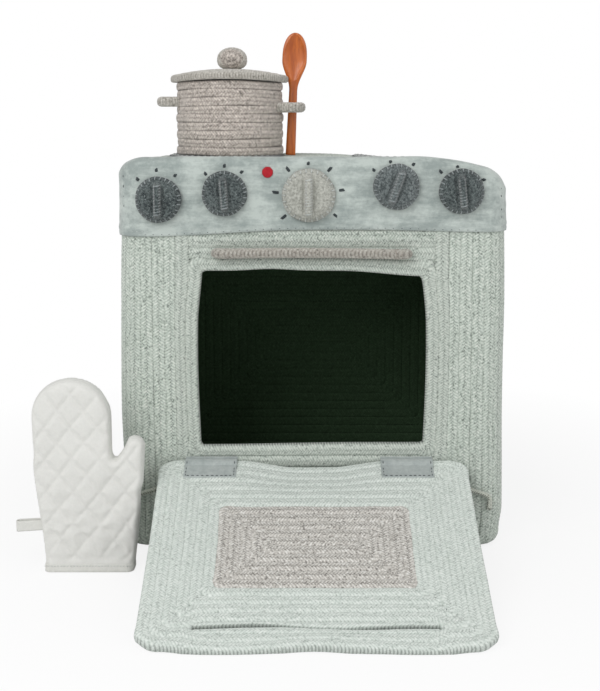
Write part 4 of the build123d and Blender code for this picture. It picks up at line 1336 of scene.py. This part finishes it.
def door_row(number, step):
    """Route and half width of one of the door's rows, counted from its edge, in door coordinates."""
    place = number + 0.5
    side_pitch = (DOOR_HINGE_HALF - WINDOW[2]) / DOOR_ROWS
    hinge_pitch = (WINDOW[0] - HINGE_ROW) / (DOOR_ROWS - 1)
    free_pitch = (DOOR_LENGTH - WINDOW[1]) / DOOR_ROWS
    near = HINGE_ROW + (place - 1) * hinge_pitch if number else 0.0
    far = DOOR_LENGTH - place * free_pitch
    half = DOOR_HINGE_HALF - place * side_pitch
    loop = rounded_loop(-half, half, near, far, max(18.0 - place * side_pitch * 0.45, 5.0), 7)
    path = cut_path(lying(loop, 0.0), step, closed=True)
    x, away = path[:, 0].copy(), path[:, 1].copy()
    path[:, 0] -= x / DOOR_HINGE_HALF * (DOOR_HINGE_HALF - DOOR_FREE_HALF) * smooth_step(away, 20.0, 150.0)
    at_free, at_hinge = (1 - smooth_step(np.abs(away - end), 0.5, 6.0) for end in (far, near))
    at_side = np.clip(1 - at_free - at_hinge, 0, 1)
    by_slot = (1 - smooth_step(np.abs(x), SLOT[2] - 1.0, SLOT[2] + 17.0)) * at_free
    if number < 2:
        slot_pitch = (DOOR_LENGTH - SLOT[1]) / 2
        slot_far = DOOR_LENGTH - place * slot_pitch
        path[:, 1] += np.maximum(slot_wave(x) - 0.9, 0.0) * by_slot
        path[:, 2] += (np.sin(x / 31.0 + 1.0) - 1.0) * 0.7 * by_slot
    else:
        slot_pitch = (SLOT[0] - WINDOW[1]) / (DOOR_ROWS - 2)
        slot_far = SLOT[0] - (place - 2) * slot_pitch
    path[:, 1] += (slot_far - far) * by_slot
    hinge_width = hinge_pitch if number else 2 * HINGE_ROW
    free_width = free_pitch + (slot_pitch - free_pitch) * by_slot
    width = side_pitch * at_side + hinge_width * at_hinge + free_width * at_free
    if number == 1:
        held = under_straps(x) * at_hinge
        path[:, 1] += 2.1 * held
        width -= 4.2 * held
    squeeze = SQUEEZE if number else SQUEEZE * (1 - at_hinge)
    return path, width / 2 + squeeze - 0.2


def make_door():
    """Door of sage rows round a greige window, with the slot for the bar near its free edge."""
    up = (0, 0, 1)
    coil = Coil(relief=0.25, front=9, back=7, flatness=0.36)
    for number in range(DOOR_ROWS):
        path, half_width = door_row(number, coil.step)
        half_thick = DOOR_THICK / 2 * (1.0 if number else 0.98)
        coil.cord(wobble(path, up, 0.4), up, half_width, half_thick, closed=True, both_sides=True)
    seated(coil.finish("door_rows", "door", on_door), "door", ["door_panel"])
    coil = Coil(relief=0.4, front=9, back=7, flatness=0.42)
    start, end, half = WINDOW
    ring_rows(
        coil, (0, (start + end) / 2), (half, (end - start) / 2), (end - start) / 10, lambda off: 5.0,
        lying, 0.0, up, DOOR_THICK - 0.2, wander=0.5, arc_steps=5,
    )
    seated(coil.finish("window_rows", "window", on_door), "door", ["door_window"])


def make_slot_lips():
    """Soft rows along the slot's near and far edges that close the slot most of the way."""
    for name, edge, hand in (("near", SLOT[0], 1), ("far", SLOT[1], -1)):
        coil = Coil(relief=0.25, front=9, back=7, flatness=0.45)
        reach = SLOT[2] + 8.0
        x = np.linspace(-reach, reach, int(2 * reach / coil.step))
        middle = (SLOT[0] + SLOT[1]) / 2 + (slot_wave(x) - 0.9) * 0.9
        half = (abs(middle - edge) - 0.6 - 1.5 * smooth_step(np.abs(np.abs(x) - 2.0), 10.0, 60.0)) / 2
        path = np.column_stack([x, edge + hand * half, np.full(len(x), -0.4)])
        coil.cord(path, (0, 0, 1), half + 0.3, DOOR_THICK / 2 - 0.6, both_sides=True)
        lip = coil.finish(f"slot_{name}_lip", "door", on_door)
        seated(lip, "door")
        anchor = on_door(np.array([[0.0, edge, 0.0]]))[0] * MM
        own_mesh(lip)


def make_tab(side):
    """The strap's end, let into the door's first row and sewn down."""
    middle, half = (vector[0] for vector in node_middle(f"hinge_strap_{side}"))
    middle += TAB_SHIFT
    top, bottom = 6.2, 3.6
    share, away = np.meshgrid(np.linspace(-1, 1, 50), np.linspace(2.0, 26.0, 20))
    edge = 0.35 * smooth_step(np.abs(share), 0.95, 1.0) + 0.35 * smooth_step(away, 24.6, 26.0)
    ripple = waves(share * half, away, (17.0, 9.0), 66) * 0.15
    outer, inner = (
        np.stack([middle + share * half, away, level], axis=-1)[:, ::-1]
        for level in (top - edge * 1.2 + ripple, np.full(share.shape, bottom))
    )
    seated(closed_sheet(f"strap_{side}_end", outer, inner, "strap", on_door), "door")
    thread = Thread(0.4)
    left, right = middle - half + 2.4, middle + half - 2.4
    for line in (
        [(left, away, top) for away in np.linspace(9.0, 24.0, 12)],
        [(right, away, top) for away in np.linspace(9.0, 24.0, 12)],
        [(x, 23.9, top) for x in np.linspace(left, right, 40)],
    ):
        thread.running_stitches(line, (0, 0, 1), 3.0, 2.2)
    seated(thread.finish(f"strap_{side}_end_stitches", "thread", on_door), "door")


# ---------------------------------------------------------------- pot and lid
POT_X, POT_Y = -95.0, FRONT_Y + 90.0
POT_BASE = HEIGHT + 2.0
POT_RADIUS = 61.75
POT_SWELL = (0.7, -0.5, 0.3, -0.2, 0.8, -0.3, 0.2, -0.6, 0.0)     # of each row, from the lowest
POT_ROWS = len(POT_SWELL)
POT_ROW = 2 * node_middle("pot_body")[1][2] / POT_ROWS
LID_RADIUS = 67.3
LID_BASE = POT_BASE + POT_ROWS * POT_ROW
LID_DOME = 5.0
BALL_ROWS = (9, 37, 64, 90, 116, 143, 171)     # degrees round from the ball's front
BALL_CORD = 3.7
BALL_LEAN = (3.0, 0.0, -2.8)


def pot_ring(coil, radius, height, wander=0.0, seed=0.0):
    """A level ring of points round the pot's middle, and the outward direction at each."""
    angle = spokes_of(int(round(TURN * radius / coil.step)))
    outward = np.column_stack([np.cos(angle), np.sin(angle), np.zeros(len(angle))])
    z = height + wander * (np.sin(angle * 2 + seed) + 0.6 * np.sin(angle * 5 + seed * 2))
    return outward * radius + np.column_stack([np.full(len(z), POT_X), np.full(len(z), POT_Y), z]), outward


def arch(points):
    """The pot's rim and its lid droop a little to the left and right."""
    moved = points.copy()
    rise = smooth_step(points[:, 2], POT_BASE, LID_BASE) ** 2
    moved[:, 2] -= 3.6 * ((points[:, 0] - POT_X) / LID_RADIUS) ** 2 * rise
    return moved


def make_pot():
    """Pot coiled from braid: upright rows on a flat coiled bottom, with a cord loop at each side."""
    coil = Coil(4.6, relief=0.4, front=9, back=7, flatness=0.5)
    for row, swell in enumerate(POT_SWELL):
        height = POT_BASE + (row + 0.5) * POT_ROW
        path, outward = pot_ring(coil, POT_RADIUS - 5.35 + swell, height, 0.45, row * 1.7)
        half_width = POT_ROW / 2 + (0.15 if row in (0, POT_ROWS - 1) else 0.75)
        coil.cord(path, outward, half_width, 5.0, closed=True, both_sides=True)
    for radius in np.arange(POT_RADIUS - 13.5, 4, -9.8):
        path = pot_ring(coil, radius, POT_BASE + 5.0)[0]
        coil.cord(path, (0, 0, 1), 5.4, 4.9, closed=True, both_sides=True)
    seated(coil.finish("pot_rows", "pot", arch), "pot", ["pot_body"])
    for side, hand in (("left", -1), ("right", 1)):
        middle, halves = node_middle(f"pot_handle_{side}")
        z = middle[2]
        root = POT_X + hand * (POT_RADIUS - 9.0)
        tip = middle[0] + hand * (halves[0] - 7.8)
        near, far = POT_Y - halves[1] + 5.0, POT_Y + halves[1] - 5.0
        coil = Coil(4.2, relief=0.4, back=6, flatness=0.75)
        corners = [(root, near, z), (tip, near, z), (tip, far, z), (root, far, z)]
        coil.cord(rounded_route(corners, (13.0, 13.0), coil.step), (0, 0, 1), 5.3, 5.9, both_sides=True)
        seated(coil.finish(f"pot_{side}_loop", "pot_cord"), "pot", [f"pot_handle_{side}"])


def make_lid():
    """Lid of coiled rows, domed a little, with a wound ball for a knob."""
    coil = Coil(4.6, relief=0.4, front=9, back=7, flatness=0.6)
    for radius in np.arange(LID_RADIUS - 4.7, 2.5, -9.1):
        rise = LID_DOME * (1 - (radius / LID_RADIUS) ** 2)
        path = pot_ring(coil, radius, LID_BASE + 4.5 + rise * 0.95)[0]
        coil.cord(path, (0, 0, 1), 5.0, 4.45, closed=True, both_sides=True)
    seated(coil.finish("lid_rows", "pot_cord", arch), "pot_lid", ["lid_disc"])
    middle, (wide, _, tall) = node_middle("lid_knob")
    outer, heart = (Coil(3.8, relief=0.5, flatness=0.7) for _ in range(2))
    for polar in np.radians(BALL_ROWS):
        coil = outer if abs(math.cos(polar)) < 0.6 else heart
        ring = math.sin(polar)
        angle = spokes_of(max(10, int(TURN * ring * (wide - BALL_CORD) / coil.step)))
        depth = np.full(len(angle), -math.cos(polar))
        direction = np.column_stack([ring * np.cos(angle), depth, ring * np.sin(angle)])
        low_part = np.clip(-direction[:, 2:], 0, 1) ** 1.5
        reach = np.array([wide, wide - 1.0, tall]) - BALL_CORD
        reach = reach * (1 + (0.3, 0.3, -0.05) * low_part)
        path = middle + BALL_LEAN + direction * reach
        coil.cord(path, direction, 4.4, BALL_CORD - 0.1, closed=True)
    seated(outer.finish("lid_ball", "pot_cord"), "pot_lid", ["lid_knob"])
    seated(heart.finish("lid_ball_heart", "pot"), "pot_lid", ["lid_knob"])


# ---------------------------------------------------------------- spoon
SPOON_LENGTH = 141.0
SPOON_HANDLE, SPOON_NECK, SPOON_BOWL = 5.8, 4.7, 14.2     # half widths
BOWL_START, BOWL_MIDDLE = 80.0, 113.0
SPOON_LEAN = math.radians(2.6)
SPOON_THICK_HALF = 3.0
BOWL_HOLLOW = 3.9
BOWL_REACH = 27.0         # of the hollow, from the bowl's middle


def make_spoon():
    """Carved wooden spoon: a flat handle that swells into a hollowed bowl."""
    foot = np.array([POT_X + 69.8, POT_Y + 6.0, HEIGHT])
    up = np.array([math.sin(SPOON_LEAN), 0.0, math.cos(SPOON_LEAN)])
    right = np.array([math.cos(SPOON_LEAN), 0.0, -math.sin(SPOON_LEAN)])
    travel = np.append(
        np.linspace(0.3, BOWL_START - 4, 40), np.linspace(BOWL_START - 2, SPOON_LENGTH - 0.15, 90)
    )
    below = travel < BOWL_MIDDLE
    top = np.clip((travel - BOWL_MIDDLE) / (SPOON_LENGTH - BOWL_MIDDLE), 0, 1)
    swell = smooth_step(travel, BOWL_START - 6, BOWL_MIDDLE - 4) ** 1.15
    handle = SPOON_HANDLE + (SPOON_NECK - SPOON_HANDLE) * travel / BOWL_START
    crown = SPOON_BOWL * np.sqrt(np.clip(1 - top ** 2.3, 0, 1))
    width = np.where(below, handle * (1 - swell) + SPOON_BOWL * swell, crown)
    depth = SPOON_THICK_HALF * np.where(below, 1.0, np.clip(1 - top ** 6, 0.05, 1) ** 0.5)
    waist = smooth_step(travel, 60, 78) * (1 - smooth_step(travel, 84, 96))
    depth = np.minimum(depth, np.maximum(width * 0.7, 0.4)) * (1 - 0.25 * waist)
    hollow = np.clip(1 - ((travel - BOWL_MIDDLE - 0.5) / BOWL_REACH) ** 2, 0, 1)[:, None]
    angle = spokes_of(64)
    cosine, sine = np.cos(angle), np.sin(angle)
    side = width[:, None] * np.sign(cosine) * np.abs(cosine) ** 0.8
    rise = np.sign(sine) * np.abs(sine) ** 0.75
    across = (side / np.clip(width - 2.0, 0.01, None)[:, None]) ** 2
    dish = np.clip(hollow - across * np.minimum(1.0, hollow + 0.35), 0, 1) ** 0.65
    front = depth[:, None] * rise - np.where(rise > 0, dish * BOWL_HOLLOW, 0.0)
    toward = np.array([0, -1.0, 0])
    points = foot + up * travel[:, None, None] + right * side[..., None] + toward * front[..., None]
    rows, columns = front.shape
    faces = [tube_faces(rows, columns)[:, ::-1], np.array(tube_ends(rows, columns))[:, ::-1]]
    spoon = build("spoon_wood", points.reshape(-1, 3), faces, "wood")
    seated(spoon, "spoon", ["spoon"])


# ---------------------------------------------------------------- oven mitt
MITT_X = -243.0
MITT_Y = FRONT_Y - 54.0
MITT_HEIGHT, MITT_HALF = 212.5, 43.0
MITT_THICK, MITT_WALL = 26.0, 8.0
CUFF_HALF = 47.5
HEM_TOP = 9.0
QUILT_SPACING = 22.5
QUILT_SLOPE = math.radians(51)
QUILT_PUFF = 2.0          # how deep the quilting lines lie
EDGE_ROUND = 8.0          # how far from its outline a face starts to round off


def mitt_outline(inset=0.0):
    """Hand shape as a closed line, thumb to the right, starting at the cuff's right corner."""
    half, middle = MITT_HALF - inset, -15.5
    shoulder = MITT_HEIGHT - MITT_HALF
    left, right = middle - half, middle + half
    cuff = CUFF_HALF + 2.0 - inset
    tip_x, tip_z, tip = 52.0, 138.0 - inset * 0.3, 11.0 - inset * 0.82
    crotch = 124.5 - inset * 1.2
    points = [(cuff, 0.0)]
    points += [(cuff + 8.0 * math.sin(t * math.pi / 2) ** 1.3, 88.0 * t) for t in np.linspace(0.1, 1, 10)]
    points += [(60.5 - inset * 0.95 + 2.4 * t, 98.0 + 36.0 * t) for t in (0.0, 0.4, 0.8)]
    points += [
        (tip_x + tip * math.cos(a), tip_z + tip * math.sin(a))
        for a in np.linspace(0.1, math.pi - 0.95, 12)
    ]
    points += [(41.5, crotch + 13.0), (37.0, crotch + 6.5)]
    points += [(32.5 - inset * 0.2, crotch + 0.8), (29.0 - inset * 0.5, crotch + 1.2)]
    points += [(right, crotch + 8.0 + 10 * t) for t in (0.0, 1.0, 2.2, 3.5)]
    points += [
        (middle + half * math.cos(a), shoulder + half * math.sin(a))
        for a in np.linspace(0, math.pi, 40)
    ]
    points += [(left + 0.3 * t, shoulder - 10 * t) for t in (1.0, 2.0, 3.0, 4.0)]
    points += [
        (-58.5 + inset + (58.5 - CUFF_HALF) * smooth_step(t, 0.0, 1.0) ** 0.9, 125.0 * (1 - t))
        for t in np.linspace(0.06, 0.96, 16)
    ]
    return np.array(points + [(-CUFF_HALF + inset, 0.0)])


def edge_distance(points, outline):
    """How far each point lies from the outline, leaving out its open bottom run."""
    nearest = np.full(len(points), 1e9)
    for start, end in zip(outline[:-1], outline[1:]):
        run = end - start
        share = np.clip(((points - start) @ run) / (run @ run + 1e-9), 0, 1)
        nearest = np.minimum(nearest, np.linalg.norm(points - start - share[:, None] * run, axis=1))
    return nearest


def fill_outline(outline, spacing):
    """Triangles that fill an outline, with evenly staggered points inside it; its rim's points come first."""
    rim = cut_path(lying(outline, 0.0), spacing, closed=True)[:, :2]
    low, high = rim.min(axis=0), rim.max(axis=0)
    rows = []
    for number, z in enumerate(np.arange(low[1] + spacing * 0.6, high[1], spacing * 0.87)):
        x = np.arange(low[0] + (number % 2) * spacing / 2, high[0], spacing)
        rows.append(np.column_stack([x, np.full(len(x), z)]))
    inside = np.vstack(rows)
    crossings = np.zeros(len(inside), int)
    for start, end in zip(rim, np.roll(rim, -1, axis=0)):
        spans = (start[1] > inside[:, 1]) != (end[1] > inside[:, 1])
        with np.errstate(divide="ignore", invalid="ignore"):
            cross = start[0] + (inside[:, 1] - start[1]) * (end[0] - start[0]) / (end[1] - start[1])
        crossings += spans & (inside[:, 0] < cross)
    clear = edge_distance(inside, np.vstack([rim, rim[:1]])) > spacing * 0.55
    points = [Vector(point) for point in np.vstack([rim, inside[(crossings % 2 == 1) & clear]])]
    count = len(rim)
    loop = [(at, (at + 1) % count) for at in range(count)]
    places, _, faces, *_ = delaunay_2d_cdt(points, loop, [list(range(count))], 1, 1e-4)
    triangles = np.array([face for face in faces if len(face) == 3])
    return np.array([tuple(point) for point in places]), triangles, count


def quilting(x, z, distance, hand):
    """How much the quilted face rises or falls: puffed diamonds, puckers, and slumps near the cuff."""
    slope = x * math.sin(QUILT_SLOPE), z * math.cos(QUILT_SLOPE)
    one = slope[0] + slope[1] + waves(x, z, (90.0,), 74) * 1.4
    two = slope[0] - slope[1] + waves(x, z, (80.0,), 75) * 1.4
    groove = np.minimum(
        *(np.abs((line / QUILT_SPACING + 0.5) % 1 - 0.5) * QUILT_SPACING for line in (one, two))
    )
    puff = 1 - np.exp(-((groove / 2.6) ** 1.3))
    fade = smooth_step(distance, 1.0, 7.0) * smooth_step(z, HEM_TOP + 1.0, HEM_TOP + 8.0)
    pucker = waves(x, z * 2.2, (13.0, 7.0), 71 + hand) * 0.35 * np.exp(-groove / 6.0)
    slump = waves(x, z, (70.0, 38.0), 71 + 9 * hand) * 1.2
    crumple = np.abs(waves(x, z * 1.3, (46.0, 27.0), 71 + 5 * hand)) * 3.2 * (1 - smooth_step(z, 40.0, 150.0))
    return fade * ((puff - 1.0) * QUILT_PUFF + pucker + slump - crumple - 0.4)


def bag_surface(outline, spacing, half_thick, quilted):
    """Points and triangles of a flat bag: front and back meet along its outline, and its bottom is open."""
    places, faces, count = fill_outline(outline, spacing)
    distance = edge_distance(places, outline)
    bulk = half_thick * np.sqrt(np.clip(1 - (1 - np.clip(distance / EDGE_ROUND, 0, 1)) ** 2, 0, 1))
    x, z = places.T
    layers = []
    for hand in (-1, 1):
        swell = quilting(x, z, distance, hand) if quilted else 0.0
        layers.append(np.column_stack([x, hand * (bulk + swell), z]))
    size = len(places)
    merge = np.arange(size) + size
    joined = np.flatnonzero(distance[:count] < 0.01)
    merge[joined] = joined
    return np.vstack(layers), faces, merge[faces][:, ::-1]


def make_mitt():
    """Quilted mitt: puffed diamonds outside, a smooth pocket inside, open at the cuff."""
    outside, front, back = bag_surface(mitt_outline(), 1.9, MITT_THICK / 2, True)
    pocket, pocket_front, pocket_back = bag_surface(
        mitt_outline(MITT_WALL), 4.0, MITT_THICK / 2 - MITT_WALL, False
    )
    pocket_faces = np.vstack([pocket_front, pocket_back])[:, ::-1] + len(outside)
    used, compact = np.unique(np.vstack([front, back, pocket_faces]), return_inverse=True)
    points = np.vstack([outside, pocket])[used] + (MITT_X, MITT_Y, 0.0)
    shell = build("mitt_quilt", points, compact.reshape(-1, 3), "cotton")
    seated(shell, "mitt", ["mitt_shell"])


def make_hem():
    """Cotton binding round the mitt's cuff, with its running stitches."""
    middle, halves = node_middle("mitt_hem")
    half_x, half_y = CUFF_HALF + 0.9, halves[1]
    count = 220
    profile = [     # inset and height
        (0.0, 0.4), (0.0, HEM_TOP * 0.35), (0.1, HEM_TOP * 0.8), (0.6, HEM_TOP - 0.3), (1.8, HEM_TOP),
        (MITT_WALL + 1.0, HEM_TOP), (MITT_WALL + 1.2, HEM_TOP / 2), (MITT_WALL + 1.0, 0.3),
        (MITT_WALL * 0.5, 0.0), (0.7, 0.0),
    ]
    rings = []
    for inset, z in profile:
        wide, deep = half_x - inset, half_y - inset
        loop = rounded_loop(-wide, wide, -deep, deep, max(7.0 - inset, 1.2), 6)
        path = cut_path(lying(loop, z), 4 * (half_x + half_y) / count, closed=True)
        ring = path[np.linspace(0, len(path), count, endpoint=False).astype(int)]
        pucker = 0.25 * np.sin(ring[:, 0] / 1.9) * (0.3 < z < HEM_TOP) * (inset < 1)
        ring[:, 1] += np.sign(ring[:, 1]) * (pucker - 0.25)
        rings.append(ring + (middle[0] + 1.0, middle[1], 0.0))
    hem = build("mitt_cuff", np.vstack(rings), tube_faces(len(profile), count, closed=True), "tape")
    seated(hem, "mitt", ["mitt_hem"])
    thread = Thread(0.3)
    reach = halves[0] - 3
    for hand in (-1, 1):
        y = middle[1] + hand * (half_y - 0.3)
        line = [(x, y, HEM_TOP - 1.6) for x in np.linspace(middle[0] - reach, middle[0] + reach, 60)]
        thread.running_stitches(line, (0, hand, 0), 2.2, 1.2)
    seated(thread.finish("cuff_stitches", "pale_thread"), "mitt")


def make_loop():
    """Folded tape sewn into the mitt's side seam to hang it by."""
    low, high = node_box("mitt_loop")
    middle, halves = node_middle("mitt_loop")
    gap = halves[1] - 0.6
    root, bend_x = high[0] + 4.0, low[0] + 0.8 + gap
    t = np.linspace(0, 1, 12)
    leg = np.column_stack([root + (bend_x - root) * t, gap * (1 - 0.15 * (1 - t))])
    bend = np.linspace(math.pi / 2, 3 * math.pi / 2, 15)[1:-1]
    tip = np.column_stack([bend_x + gap * np.cos(bend), gap * np.sin(bend)])
    line = np.vstack([leg, tip, (leg * (1, -1))[::-1]]) + (0, middle[1])
    sag = 1.6 * (line[:, 0] - high[0]) / (low[0] - high[0])
    z = middle[2] + np.linspace(-1, 1, 9)[None, :] * halves[2] + (1.6 - sag)[:, None]
    grids = []
    for offset in (0.55, -0.55):
        flat = (line + line_normals(line) * offset)[:, None, :]
        grids.append(np.concatenate([np.broadcast_to(flat, (*z.shape, 2)), z[..., None]], axis=-1))
    seated(closed_sheet("mitt_tape", *grids, "tape"), "mitt", ["mitt_loop"])


# ---------------------------------------------------------------- pieces kept from the frame
def finish_kept_nodes():
    """The knobs' plastic stems and washers keep their shape and get a moulded finish."""
    for node in ["knob_washers"] + [f"knob_{number}_stem" for number in range(1, 6)]:
        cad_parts[node].data.materials[0] = FINISH["plastic"]


set_camera()
set_light()
lay_floor()
make_walls()
make_hob_and_base()
make_frame()
make_lining()
make_panel()
for knob_number in range(1, 6):
    make_knob(knob_number)
make_burners()
make_dot()
make_bar()
for strap_side in ("left", "right"):
    make_strap(strap_side)
    make_side_cord(strap_side)
    make_tab(strap_side)
make_door()
make_slot_lips()
make_pot()
make_lid()
make_spoon()
make_mitt()
make_hem()
make_loop()
finish_kept_nodes()
